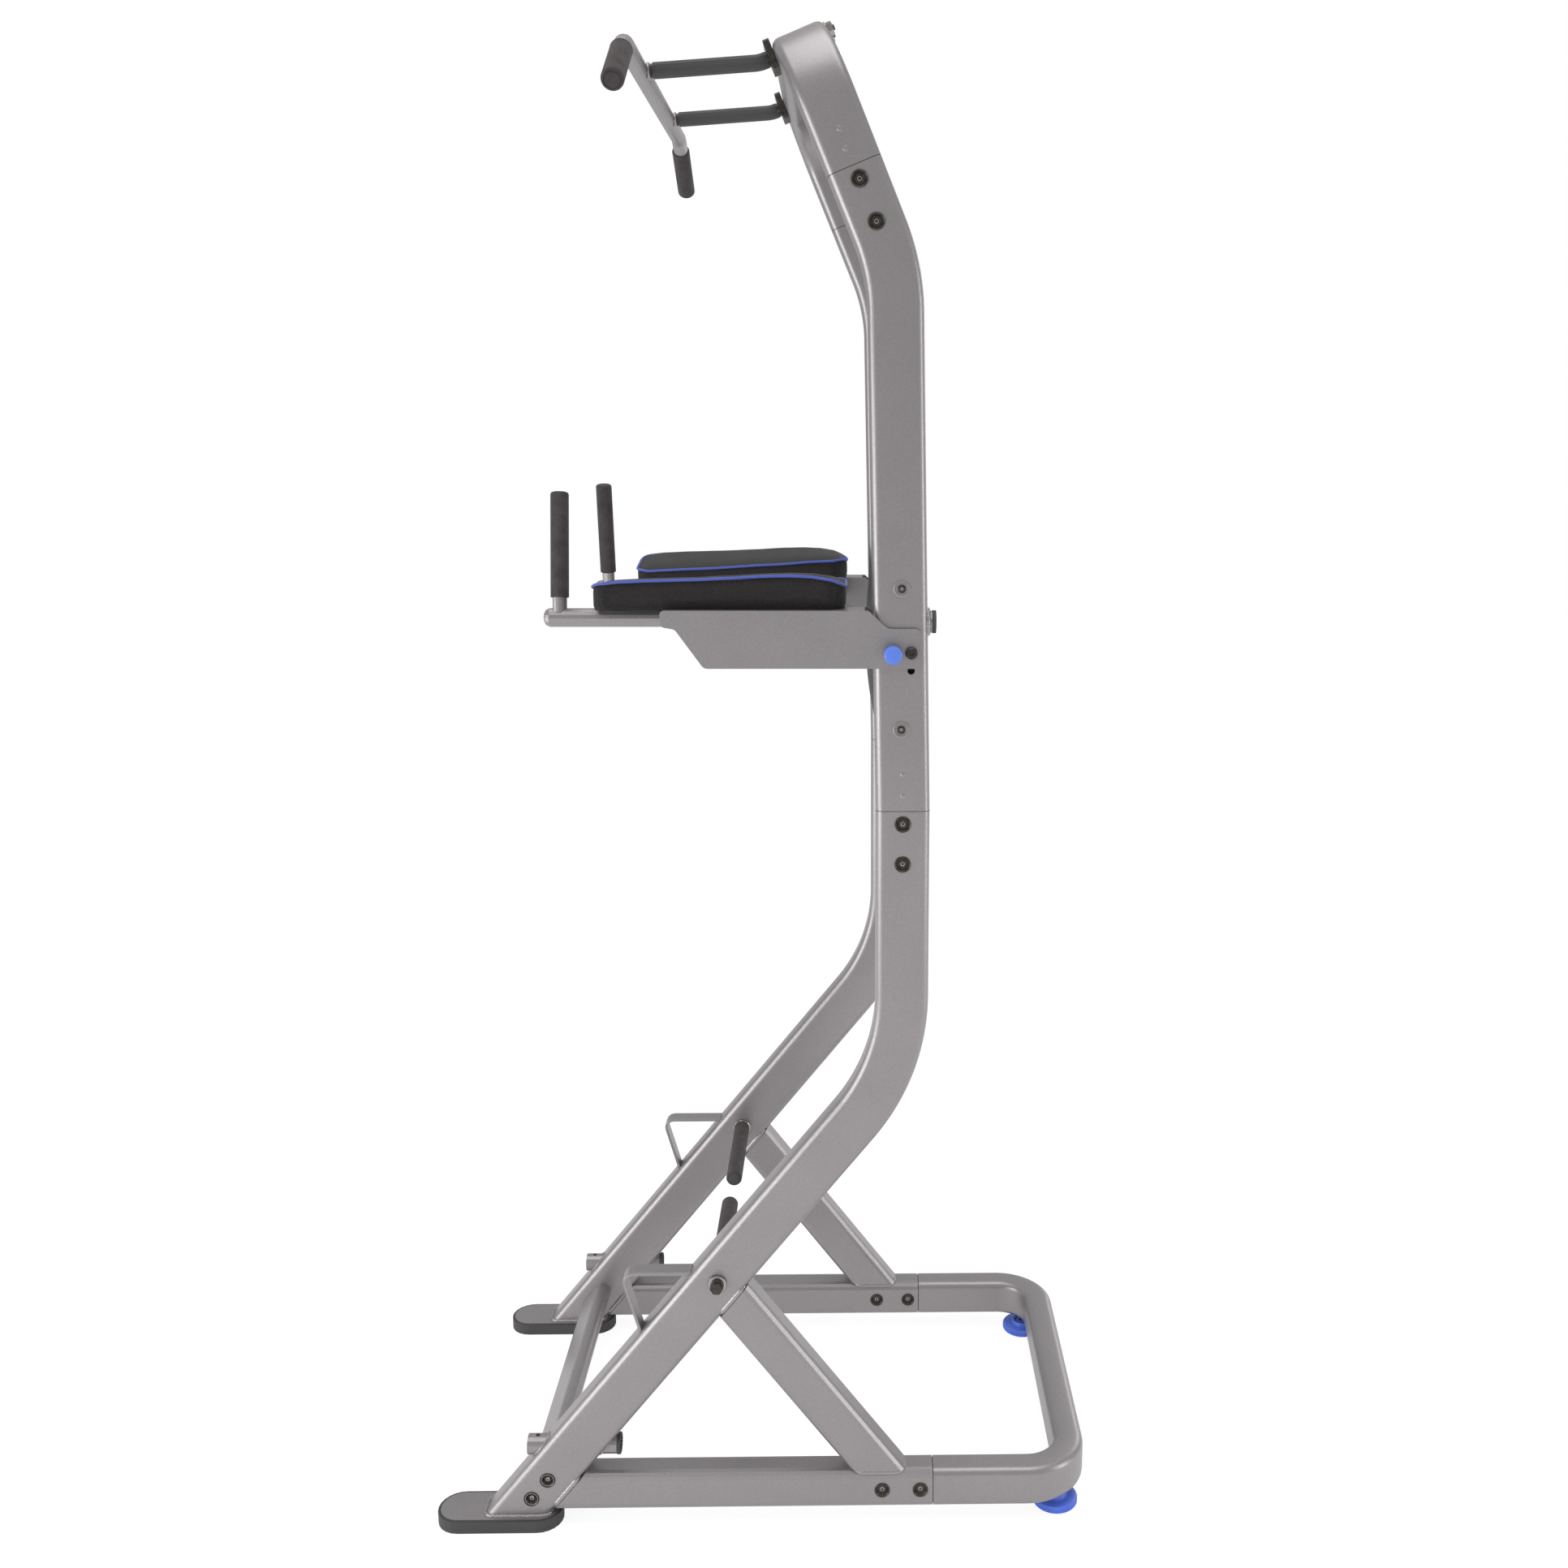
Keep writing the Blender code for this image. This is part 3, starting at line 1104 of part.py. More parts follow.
def pull_pin(side, pivot):
    """The pin that locks the arm, pulled out; its hollow knob slides over the boss."""
    name = f"pull_pin_{side_name(side)}"
    knob = CHEEK_PLAY + CHEEK + BOSS_LENGTH + 0.0005
    hollow = knob + PIN_TRAVEL + 0.0008
    profile = [(0, PIN_STANDOFF), (PIN_RADIUS - 0.001, PIN_STANDOFF),
               (PIN_RADIUS, PIN_STANDOFF + 0.001), (PIN_RADIUS, hollow),
               (BOSS_RADIUS + 0.0006, hollow), (BOSS_RADIUS + 0.0006, knob),
               (KNOB_RADIUS - 0.0006, knob), (KNOB_RADIUS, knob + 0.0006),
               (KNOB_RADIUS, knob + KNOB_LENGTH - 0.0015),
               (KNOB_RADIUS - 0.0015, knob + KNOB_LENGTH), (0, knob + KNOB_LENGTH)]
    place = lock_pin_place(side)
    axis = axis_empty(f"pull_pin_axis_{side_name(side)}", place)
    obj = new_object(name, turned(name, profile, place, X_AXIS * side), blue_plastic())
    ride_on(obj, axis)
    axis.parent = pivot
    axis.location = place - pivot.location
    return obj


def centre_on_origin():
    """Moves the whole rack along Y, so that the origin is under the middle of its box."""
    for obj in bpy.data.objects:
        if obj.parent is None:
            obj.location.y -= (FRONT_Y + REAR_Y) / 2


def build():
    clear_scene()
    for side in (1, -1):
        leg(side)
        side_rail(side)
        strut(side)
        foot_plate(side)
        foot_sole(side)
        mid_spigot(side)
        upper_spigot(side)
        rear_spigot(side)
        levelling_foot(side)
        low_socket(side)
        rear_socket(side)
        band_loop(side)
        low_handle_bar(side)
        low_handle_grip(side)
        upright(side)
        neutral_bar(side)
        neutral_sleeve(side)
        pull_up_grip(side)
        pivot_bolt(side)
        pivot = axis_empty(f"arm_axis_{side_name(side)}",
                           Vector((side * HALF_SPACING, PIVOT_Y, PIVOT_Z)))
        arm_bracket(side, pivot)
        arm_tube(side, pivot)
        arm_grip(side, pivot)
        arm_pad_board(side, pivot)
        arm_pad(side, pivot)
        pull_pin(side, pivot)
    cross_tube()
    rear_base()
    top_arch()
    pull_up_bar()
    for level, z in zip(("upper", "lower"), BACKREST_BAR_ZS):
        backrest_bar(level, z)
    backrest_board()
    backrest_pad()
    centre_on_origin()


build()
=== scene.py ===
# %% [markdown]
# # A bodyweight rack for pull-ups, dips and knee raises
#
# The rack is a welded and bolted steel frame with padded arms that fold down. The frame
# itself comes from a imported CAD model, whose nodes already have the right shape, so this
# script gives them their finishes and adds what CAD leaves plain: the sewn cushions, the
# moulded feet and knobs, the screws and the weld beads.

# %% Load the frame
import json
from math import atan2, cos, hypot, pi, radians, sin, tan

import bmesh
import bpy
from mathutils import Matrix, Vector


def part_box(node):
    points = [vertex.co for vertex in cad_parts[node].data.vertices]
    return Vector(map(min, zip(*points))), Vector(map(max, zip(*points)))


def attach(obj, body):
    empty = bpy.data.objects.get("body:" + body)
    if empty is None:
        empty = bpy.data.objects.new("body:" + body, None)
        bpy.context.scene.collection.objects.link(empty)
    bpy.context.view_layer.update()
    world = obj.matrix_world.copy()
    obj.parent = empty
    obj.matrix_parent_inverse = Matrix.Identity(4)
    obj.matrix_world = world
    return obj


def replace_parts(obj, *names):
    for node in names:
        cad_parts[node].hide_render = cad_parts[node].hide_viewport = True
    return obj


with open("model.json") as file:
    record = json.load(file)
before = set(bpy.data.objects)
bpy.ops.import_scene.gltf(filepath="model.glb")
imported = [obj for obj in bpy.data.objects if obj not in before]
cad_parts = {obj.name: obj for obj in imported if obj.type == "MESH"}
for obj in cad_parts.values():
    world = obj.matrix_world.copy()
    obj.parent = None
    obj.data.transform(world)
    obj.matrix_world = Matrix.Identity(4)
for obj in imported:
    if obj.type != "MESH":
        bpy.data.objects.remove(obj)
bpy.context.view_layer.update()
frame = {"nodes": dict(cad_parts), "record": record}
nodes = frame["nodes"]
SIDES = (("right", 1), ("left", -1))      # each hand, and the sign of its x
X_AXIS, Y_AXIS, Z_AXIS = Vector((1, 0, 0)), Vector((0, 1, 0)), Vector((0, 0, 1))

# %% [markdown]
# ## Camera
#
# The photograph looks at the rack from its right side, a little from above. The camera
# could be placed by eye, but its position and lens were worked out from the rack's own
# straight edges, so that the picture can be compared with the photograph point by point.


# %% Camera
def linked(name, data):
    """A new object that shows this data, linked to the scene."""
    made = bpy.data.objects.new(name, data)
    bpy.context.scene.collection.objects.link(made)
    return made


HEADING, LOOK_DOWN, ROLL = 90 - 1.11, 90 - 10.13, 0.13
camera_data = bpy.data.cameras.new("camera")
camera_data.lens = 36.32
camera_data.shift_x = -0.0626
camera_data.shift_y = -0.0378
camera = linked("camera", camera_data)
camera.location = (2.5834, 0.1427, 1.709)
turn = (Matrix.Rotation(radians(HEADING), 4, "Z") @ Matrix.Rotation(radians(LOOK_DOWN), 4, "X")
        @ Matrix.Rotation(radians(ROLL), 4, "Z"))
camera.rotation_euler = turn.to_euler()
bpy.context.scene.camera = camera
bpy.context.scene.view_settings.view_transform = "Standard"
print("camera", [round(v, 3) for v in camera.location], "lens", camera_data.lens)

# %% [markdown]
# ## Colours and shader nodes
#
# A colour picked on the screen is an sRGB value, while the renderer counts light, so each
# hex code is turned into linear light first. A material is a small network of nodes, and
# one helper that adds a node with its settings and its links keeps the networks short.


def linear(code):
    """An sRGB hex code as linear red, green, blue and alpha."""
    shares = [int(code[i:i + 2], 16) / 255 for i in (1, 3, 5)]
    return [*(s / 12.92 if s <= 0.04045 else ((s + 0.055) / 1.055) ** 2.4 for s in shares), 1]


def add(tree, kind, inputs=None, **settings):
    """Adds a shader node. An input is a plain value, or a socket to link from."""
    node = tree.nodes.new("ShaderNode" + kind)
    for name, value in settings.items():
        setattr(node, name, value)
    for socket, value in (inputs or {}).items():
        if isinstance(value, bpy.types.NodeSocket):
            tree.links.new(value, node.inputs[socket])
        else:
            node.inputs[socket].default_value = value
    return node


def finish(name, slot, roughness, metallic=0.0, **fixed):
    """A new material: its tree, its shader and the coordinates of its object, in metres."""
    made = bpy.data.materials.new(name)
    made.use_nodes = True
    tree = made.node_tree
    shader = tree.nodes["Principled BSDF"]
    shader.inputs["Roughness"].default_value = roughness
    shader.inputs["Metallic"].default_value = metallic
    for socket, value in fixed.items():
        shader.inputs[socket.replace("_", " ")].default_value = value
    print(name, "for", slot, "roughness", roughness, "metallic", metallic)
    return made, tree, shader, add(tree, "TexCoord").outputs["Object"]


def noise(tree, place, scale, detail=2):
    """A cloudy pattern from 0 to 1, in clouds 1 / scale metres across."""
    return add(tree, "TexNoise", {"Vector": place, "Scale": scale, "Detail": detail}).outputs["Fac"]


def spread(tree, value, low, high, to_low=0.0, to_high=1.0):
    """Stretches a socket's range from low..high to another one, and clamps it."""
    return add(tree, "MapRange", {"Value": value, "From Min": low, "From Max": high,
                                  "To Min": to_low, "To Max": to_high}).outputs["Result"]


def reckon(tree, operation, *values):
    """The result of a Math node."""
    return add(tree, "Math", dict(enumerate(values)), operation=operation).outputs[0]


def two_tones(tree, shader, share, dark, light):
    """The base colour, mixed from two hex codes by a 0 to 1 socket."""
    mix = add(tree, "Mix", {0: share, 6: linear(dark), 7: linear(light)}, data_type="RGBA")
    tree.links.new(mix.outputs[2], shader.inputs["Base Color"])


def uneven_gloss(tree, shader, value, low, high, smoothest, roughest):
    """Lets a pattern move the roughness between two values."""
    tree.links.new(spread(tree, value, low, high, smoothest, roughest), shader.inputs["Roughness"])


def relief(tree, shader, height, depth, strength=1.0):
    """Bumps the surface by a 0 to 1 socket, `depth` metres from its lowest to its highest."""
    bump = add(tree, "Bump", {"Height": height, "Distance": depth, "Strength": strength})
    tree.links.new(bump.outputs["Normal"], shader.inputs["Normal"])
    return bump


def speckled(name, slot, scale, detail, dark, light, depth, roughness, metallic=0.0, **fixed):
    """A finish in which one fine noise gives both the tone and the relief."""
    made, tree, shader, place = finish(name, slot, roughness, metallic, **fixed)
    specks = noise(tree, place, scale, detail)
    two_tones(tree, shader, specks, dark, light)
    relief(tree, shader, specks, depth)
    return made


print("white in linear light", linear("#FFFFFF"), "mid grey", round(linear("#808080")[0], 3))

# %% [markdown]
# ## The silver powder coat
#
# The steel is sprayed with polyester powder that holds fine aluminium flakes and is baked.
# It could be one grey with a low roughness, but the eye reads powder coat by three things:
# a grain of flakes, a faint orange peel, and soft broad highlights. Flakes of 0.1 mm are too
# fine to show, so they are drawn as cells of about 0.8 mm. The orange peel is about 2.4 mm
# across.

# %% Silver powder coat
silver, tree, shader, place = finish("silver_powder_coat", "silver_paint", 0.34, 0.72)
flakes = add(tree, "TexVoronoi", {"Vector": place, "Scale": 1250})
tint = add(tree, "SeparateColor", {0: flakes.outputs["Color"]}).outputs[0]
grain = reckon(tree, "MULTIPLY_ADD", noise(tree, place, 9), 0.4,
               reckon(tree, "MULTIPLY", tint, 0.75))
two_tones(tree, shader, spread(tree, grain, 0.0, 1.1), "#8C8889", "#A29E9F")
uneven_gloss(tree, shader, flakes.outputs["Distance"], 0, 0.6, 0.28, 0.40)
relief(tree, shader, noise(tree, place, 420, 1.5), 0.00008)

# %% [markdown]
# ## Weld beads
#
# The tubes are welded before they are painted, so a bead has the paint's colour and only
# its ripples and its slightly duller skin tell it apart. The ripples are in the mesh of the
# bead. The material adds the grain of spatter that the paint covers.

# %% Painted weld metal
weld_paint = speckled("painted_weld_metal", "silver_paint", 700, 3, "#8F8B8C", "#A8A4A5",
                      0.0003, 0.30, 0.66)

# %% [markdown]
# ## Zinc, chrome and bare screws
#
# The bolts and the bars under the sleeves are zinc-plated and passivated dark. The screw in
# the middle of each cup, the nuts, the washers and the pull pins are bright. Both are metals,
# whose colour is that of their reflections: the dark one gets a blotchy brown-grey from the
# passivation, the bright one fine turning marks that stretch its highlight.

# %% Dark and bright metal
dark_zinc, tree, shader, place = finish("dark_passivated_zinc", "dark_zinc", 0.38, 0.9)
blotches = noise(tree, place, 260, 4)
two_tones(tree, shader, spread(tree, blotches, 0.3, 0.7), "#3A3836", "#55514D")
uneven_gloss(tree, shader, blotches, 0.3, 0.7, 0.32, 0.48)
relief(tree, shader, blotches, 0.00005)

bright_screw, tree, shader, place = finish("bright_zinc_screw", "dark_zinc", 0.22, 1.0)
marks = noise(tree, place, 900)
two_tones(tree, shader, marks, "#8A8884", "#B0AEAA")
uneven_gloss(tree, shader, marks, 0.3, 0.7, 0.16, 0.30)

# %% [markdown]
# ## Foam grips, rubber and plastic
#
# The grips are sleeves of closed-cell foam rubber: matt, with a skin of open pores under a
# millimetre across. Solid rubber, on the feet and on the two bars of the pull-up frame, is
# denser and a little glossier. The blue parts are injection moulded in ABS, with a
# spark-eroded matt skin.

# %% Foam, rubber and blue plastic
foam, tree, shader, place = finish("closed_cell_foam", "grip_foam", 0.82, Sheen_Weight=0.06,
                                   Sheen_Roughness=0.5, Specular_IOR_Level=0.35)
cells = add(tree, "TexVoronoi", {"Vector": place, "Scale": 900})
two_tones(tree, shader, spread(tree, noise(tree, place, 60, 3), 0.3, 0.7), "#353031", "#443E3F")
relief(tree, shader, cells.outputs["Distance"], 0.00035, 0.7)

rubber = speckled("moulded_rubber", "black_rubber", 500, 3, "#363637", "#444445", 0.00015, 0.66)
knob_blue = speckled("blue_knob_plastic", "blue_plastic", 1100, 2, "#4E70D4", "#5F83E2",
                     0.00006, 0.38, IOR=1.53)
foot_blue = speckled("blue_foot_plastic", "blue_plastic", 1100, 2, "#4B6AD4", "#5D7EE6",
                     0.00006, 0.38, IOR=1.53)

# %% [markdown]
# ## Cushion cloths, piping and plywood
#
# The tops of the cushions are knitted fabric with a charcoal vinyl coating that has a fine
# leather grain. Their sides are a dark open mesh of small honeycomb holes with soft flat
# folds in it, and a blue piping covers the seam between them. A grain of 0.5 mm is drawn at
# 1.2 mm and the mesh's 2 mm holes at 3.3 mm, because smaller ones would not show. The boards
# under the cushions are birch plywood stained black, so that the folded cloth at their rims
# does not stand out.

# %% Vinyl, mesh, piping and plywood
vinyl, tree, shader, place = finish("charcoal_coated_fabric", "pad_cover", 0.5)
pebbles = add(tree, "TexVoronoi", {"Vector": place, "Scale": 850}, feature="DISTANCE_TO_EDGE")
broad = noise(tree, place, 24, 3)
two_tones(tree, shader, spread(tree, broad, 0.3, 0.7), "#1D1B1B", "#272524")
relief(tree, shader, spread(tree, pebbles.outputs["Distance"], 0.0, 0.25), 0.00016)
uneven_gloss(tree, shader, broad, 0.3, 0.7, 0.46, 0.58)

side_mesh, tree, shader, place = finish("dark_spacer_mesh", "pad_cover", 0.85, Sheen_Weight=0.08,
                                        Sheen_Roughness=0.6, Specular_IOR_Level=0.3)
holes = add(tree, "TexVoronoi", {"Vector": place, "Scale": 300, "Randomness": 0.25})
ring = spread(tree, holes.outputs["Distance"], 0.25, 0.6)
two_tones(tree, shader, ring, "#080707", "#221E1F")
weave = relief(tree, shader, ring, 0.0006)
flattened = add(tree, "Mapping", {"Vector": place, "Scale": (9, 9, 60)}).outputs["Vector"]
folds = relief(tree, shader, noise(tree, flattened, 1.6, 3), 0.005)
tree.links.new(weave.outputs["Normal"], folds.inputs["Normal"])

piping_cloth = speckled("blue_piping", "pad_cover", 900, 2, "#33469C", "#4559B6", 0.0002, 0.6,
                        Sheen_Weight=0.2)

plywood, tree, shader, place = finish("black_stained_birch", "birch_board", 0.62)
stretched = add(tree, "Mapping", {"Vector": place, "Scale": (2.0, 14, 14)}).outputs["Vector"]
grain = noise(tree, stretched, 12, 6)
two_tones(tree, shader, spread(tree, grain, 0.35, 0.65), "#1B1816", "#2E2925")
relief(tree, shader, grain, 0.0002)

# %% Each CAD node gets the finish of its slot
FINISHES = {"silver_paint": silver, "dark_zinc": dark_zinc, "grip_foam": foam,
            "black_rubber": rubber, "blue_plastic": foot_blue, "pad_cover": vinyl,
            "birch_board": plywood}
for part in frame["record"]["subparts"]:
    for held in nodes[part["node"]].material_slots:
        held.material = FINISHES[part["material_slot"]]

# %% [markdown]
# ## Studio
#
# The photograph is a studio shot on plain white with very soft light from above and from
# the camera's side. One large overhead lamp, a broad one at the front and a dim white world
# give that, two tall strips beyond the rack's ends draw the bright lines on the tubes' round
# edges, and a weak lamp lifts the far side. The floor is white paper: for the camera part of
# its white is its own, so the rack's shadow stays on it but is as light as in a bright studio.


# %% Studio
def lamp(name, place, aim, width, height, watts):
    """An area lamp at a place, aimed at a height on the rack's middle line."""
    data = bpy.data.lights.new(name, "AREA")
    data.shape = "RECTANGLE"
    data.size, data.size_y = width, height
    data.energy = watts
    made = linked(name, data)
    made.location = place
    made.rotation_euler = (Z_AXIS * aim - Vector(place)).to_track_quat("-Z", "Y").to_euler()


lamp("overhead", (0.5, 0.0, 7.0), 1.0, 5.0, 5.0, 170)
lamp("front_left", (3.0, -3.6, 0.7), 0.5, 1.8, 1.8, 55)
lamp("left_strip", (1.5, -4.2, 1.2), 1.0, 1.0, 3.6, 55)
lamp("right_strip", (1.6, 4.4, 1.2), 1.0, 1.0, 3.6, 55)
lamp("behind", (-3.4, 2.8, 2.2), 0.9, 2.4, 2.4, 30)

LIGHT_LEVEL, MIRRORED_LEVEL = 0.70, 0.55
world = bpy.data.worlds.new("studio")
world.use_nodes = True
bpy.context.scene.world = world
tree = world.node_tree
ray = add(tree, "LightPath").outputs
level = spread(tree, ray["Is Glossy Ray"], 0, 1, LIGHT_LEVEL, MIRRORED_LEVEL)
tree.links.new(reckon(tree, "MAXIMUM", level, ray["Is Camera Ray"]),
               tree.nodes["Background"].inputs["Strength"])
tree.nodes["Background"].inputs["Color"].default_value = (1, 1, 1, 1)

# %% [markdown]
# The floor is one square, a hair under the feet so that no face of theirs lies in it.


# %% Floor
def mesh_of(name, shape):
    """The mesh of a bmesh, which is freed."""
    mesh = bpy.data.meshes.new(name)
    shape.to_mesh(mesh)
    shape.free()
    return mesh


SEEN_WHITE, MIRRORED_WHITE = 0.78, 0.35
shape = bmesh.new()
bmesh.ops.create_grid(shape, x_segments=1, y_segments=1, size=9)
floor = linked("floor", mesh_of("floor", shape))
floor.location = (0, 0, -0.0005)
paper = bpy.data.materials.new("white_paper")
paper.use_nodes = True
tree = paper.node_tree
matt = add(tree, "BsdfDiffuse", {"Color": (0.9, 0.9, 0.9, 1)})
glow = add(tree, "Emission", {"Color": (1, 1, 1, 1), "Strength": 1.12})
ray = add(tree, "LightPath").outputs
share = reckon(tree, "MULTIPLY_ADD", ray["Is Camera Ray"], SEEN_WHITE,
               reckon(tree, "MULTIPLY", ray["Is Glossy Ray"], MIRRORED_WHITE))
both = add(tree, "MixShader", {0: share, 1: matt.outputs[0], 2: glow.outputs[0]})
tree.links.new(both.outputs[0], tree.nodes["Material Output"].inputs["Surface"])
floor.data.materials.append(paper)
print("floor at", round(floor.location.z, 4), "with", len(bpy.data.lights), "lamps")

# %% [markdown]
# ## Shared modelling helpers
#
# A new piece starts as a bmesh and ends as an object whose mesh already stands in its place,
# so that its patterns and its motion follow the CAD bodies. Round parts are spun from a
# half profile, and piping or weld metal is swept along a path by a bevelled curve.


# %% Modelling helpers
def riding(name, mesh, body):
    """Links a smooth mesh as a piece that rides on a body."""
    mesh.shade_smooth()
    made = linked(name, mesh)
    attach(made, body)
    print(name, len(mesh.polygons), "faces on", body)
    return made


def finish_piece(name, mesh, surface, body="frame", sharp=32):
    """A mesh as a piece in one finish, smooth but for its sharp edges."""
    mesh.materials.clear()
    mesh.materials.append(surface)
    made = riding(name, mesh, body)
    mesh.set_sharp_from_angle(angle=radians(sharp))
    return made


def face_outwards(shape):
    """Merges doubled points and turns every face outwards."""
    bmesh.ops.remove_doubles(shape, verts=shape.verts, dist=1e-6)
    bmesh.ops.recalc_face_normals(shape, faces=shape.faces)


def piece(name, shape, surface, body="frame", sharp=32):
    """A piece from a bmesh."""
    face_outwards(shape)
    return finish_piece(name, mesh_of(name, shape), surface, body, sharp)


def bevelled(shape, geom, offset, segments, affect="EDGES"):
    """Rounds edges, or the corners of an outline."""
    bmesh.ops.bevel(shape, geom=geom, offset=offset, segments=segments, profile=0.5,
                    affect=affect, material=-1)


def stand(shape, points, place, axis):
    """Turns points from Z to an axis and moves them to a place."""
    turn = Z_AXIS.rotation_difference(Vector(axis)).to_matrix().to_4x4()
    bmesh.ops.transform(shape, matrix=Matrix.Translation(place) @ turn, verts=points)


def spin_profile(shape, profile, place, axis, steps):
    """Adds a solid of revolution: (radius, distance) points spun round an axis."""
    before = set(shape.verts)
    points = [shape.verts.new((radius, 0, along)) for radius, along in profile]
    edges = [shape.edges.new(pair) for pair in zip(points, points[1:])]
    bmesh.ops.spin(shape, geom=points + edges, cent=(0, 0, 0), axis=(0, 0, 1),
                   angle=2 * pi, steps=steps, use_merge=True)
    stand(shape, [v for v in shape.verts if v not in before], place, axis)


def turned(name, profile, spots, surface, body="frame", steps=40, sharp=32):
    """A piece turned from one profile at every (place, axis) of its spots."""
    shape = bmesh.new()
    for place, axis in spots:
        spin_profile(shape, profile, place, axis, steps)
    return piece(name, shape, surface, body, sharp)


def prism(shape, start, end, radius, sides):
    """Adds a closed prism or rod between two places and returns its points."""
    points = bmesh.ops.create_cone(shape, cap_ends=True, segments=sides, radius1=radius,
                                   radius2=radius, depth=(end - start).length)["verts"]
    stand(shape, points, (start + end) / 2, end - start)
    return points


def swept(name, points, radius, surface, body="frame", closed=True, swell=()):
    """A round cord along the points, made by bevelling a curve and keeping its mesh."""
    curve = bpy.data.curves.new(name, "CURVE")
    curve.dimensions = "3D"
    curve.bevel_depth = radius
    curve.bevel_resolution = 2
    curve.use_fill_caps = True
    line = curve.splines.new("POLY")
    line.points.add(len(points) - 1)
    for spot, place in zip(line.points, points):
        spot.co = (*place, 1)
    for spot, share in zip(line.points, swell):
        spot.radius = share
    line.use_cyclic_u = closed
    holder = linked(name, curve)
    bpy.context.view_layer.update()
    mesh = bpy.data.meshes.new_from_object(holder)
    bpy.data.objects.remove(holder)
    bpy.data.curves.remove(curve)
    mesh.name = name
    return finish_piece(name, mesh, surface, body, 60)


def with_modifier(mesh, kind, **settings):
    """The mesh as one modifier leaves it."""
    holder = linked("holder", mesh)
    change = holder.modifiers.new(kind, kind)
    for name, value in settings.items():
        setattr(change, name, value)
    graph = bpy.context.evaluated_depsgraph_get()
    made = bpy.data.meshes.new_from_object(holder.evaluated_get(graph), depsgraph=graph)
    bpy.data.objects.remove(holder)
    return made


def corners(node):
    """The low corner, the high corner and the middle of a CAD node's box."""
    low, high = (Vector(c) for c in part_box(node))
    return low, high, (low + high) / 2


print("the rack's rear base spans", [round(v, 3) for c in corners("rear_base") for v in c])

# %% [markdown]
# ## The bent tubes
#
# The legs, the uprights, the crown and the rear base are bent from rounded rectangular tube.
# The CAD model has few facets in its bends, which is right for collision and too coarse for
# the eye, so each is made again on the same centre line: one ring of the tube's outline is
# extruded along the straights and spun round the centre of each bend. A thickness turns the
# skin into a wall, and the holes for bolts and sockets are cut last, all in one Boolean.

# %% Tube helpers
SHIFT = 0.21765             # from the leg's upright centre line to the middle of the rack
HALF_SPACING = 0.285
TUBE_WIDTH, TUBE_DEPTH, RAIL_DEPTH, TUBE_CORNER, TUBE_WALL = 0.050, 0.080, 0.065, 0.012, 0.0025
OUTER_FACE, INNER_FACE = HALF_SPACING + TUBE_WIDTH / 2, HALF_SPACING - TUBE_WIDTH / 2
GAP = 0.0003
SEAM_GAP = 0.0009           # the dark line where two tubes meet


def at(x, y, z):
    """A point whose y is counted from the leg's upright centre line."""
    return Vector((x, y + SHIFT, z))


def sloped(degrees):
    """The unit vector in the side plane that leans forward by an angle from upright."""
    return Vector((0, -sin(radians(degrees)), cos(radians(degrees))))


def square_to(direction):
    """A direction of the side plane, turned back by a quarter turn."""
    return Vector((0, direction.z, -direction.y))


def tube_ring(shape, depth, place, up):
    """The tube's open outline at a place, its depth along `up`."""
    corner_points = bmesh.ops.create_grid(shape, x_segments=1, y_segments=1, size=0.5)["verts"]
    bmesh.ops.scale(shape, vec=(TUBE_WIDTH, depth, 1), verts=corner_points)
    bevelled(shape, corner_points, TUBE_CORNER, 6, "VERTICES")
    turn = Matrix((X_AXIS, up, X_AXIS.cross(up))).transposed().to_4x4()
    bmesh.ops.transform(shape, matrix=Matrix.Translation(place) @ turn, verts=shape.verts)
    bmesh.ops.delete(shape, geom=list(shape.faces), context="FACES_ONLY")
    return list(shape.edges)


def run(shape, ring, step):
    """Extrudes the ring along a vector and returns the new ring."""
    made = bmesh.ops.extrude_edge_only(shape, edges=ring)["geom"]
    points = {g for g in made if isinstance(g, bmesh.types.BMVert)}
    bmesh.ops.translate(shape, vec=step, verts=list(points))
    return [g for g in made if isinstance(g, bmesh.types.BMEdge) and points.issuperset(g.verts)]


def bend(shape, ring, centre, axis, angle):
    """Spins the ring round a centre and returns the last ring."""
    points = {v for edge in ring for v in edge.verts}
    made = bmesh.ops.spin(shape, geom=ring + list(points), cent=centre, axis=axis,
                          angle=angle, steps=20)
    return [g for g in made["geom_last"] if isinstance(g, bmesh.types.BMEdge)]


def cut_level(shape, height, clear_below=False):
    """Cuts a bmesh by a level plane."""
    bmesh.ops.bisect_plane(shape, geom=[*shape.verts, *shape.edges, *shape.faces], dist=1e-6,
                           plane_co=(0, 0, height), plane_no=Z_AXIS, clear_inner=clear_below)


def walled(shape):
    """Gives the open skin its wall, inwards, and returns it as a mesh."""
    bmesh.ops.recalc_face_normals(shape, faces=shape.faces)
    bmesh.ops.solidify(shape, geom=list(shape.faces), thickness=TUBE_WALL)
    bmesh.ops.recalc_face_normals(shape, faces=shape.faces)
    return mesh_of("tube", shape)


def drilled(mesh, bores, sides=32):
    """Cuts holes with so many sides, given as (start, end, radius), out of a mesh."""
    shape = bmesh.new()
    for start, end, radius in bores:
        prism(shape, start, end, radius, sides)
    drills = linked("drills", mesh_of("drills", shape))
    made = with_modifier(mesh, "BOOLEAN", operation="DIFFERENCE", solver="EXACT",
                         object=drills)
    bpy.data.objects.remove(drills)
    return made


def across(places, radius):
    """A drill through both sides of the tube at each place."""
    return [(place - X_AXIS * 0.06, place + X_AXIS * 0.06, radius) for place in places]


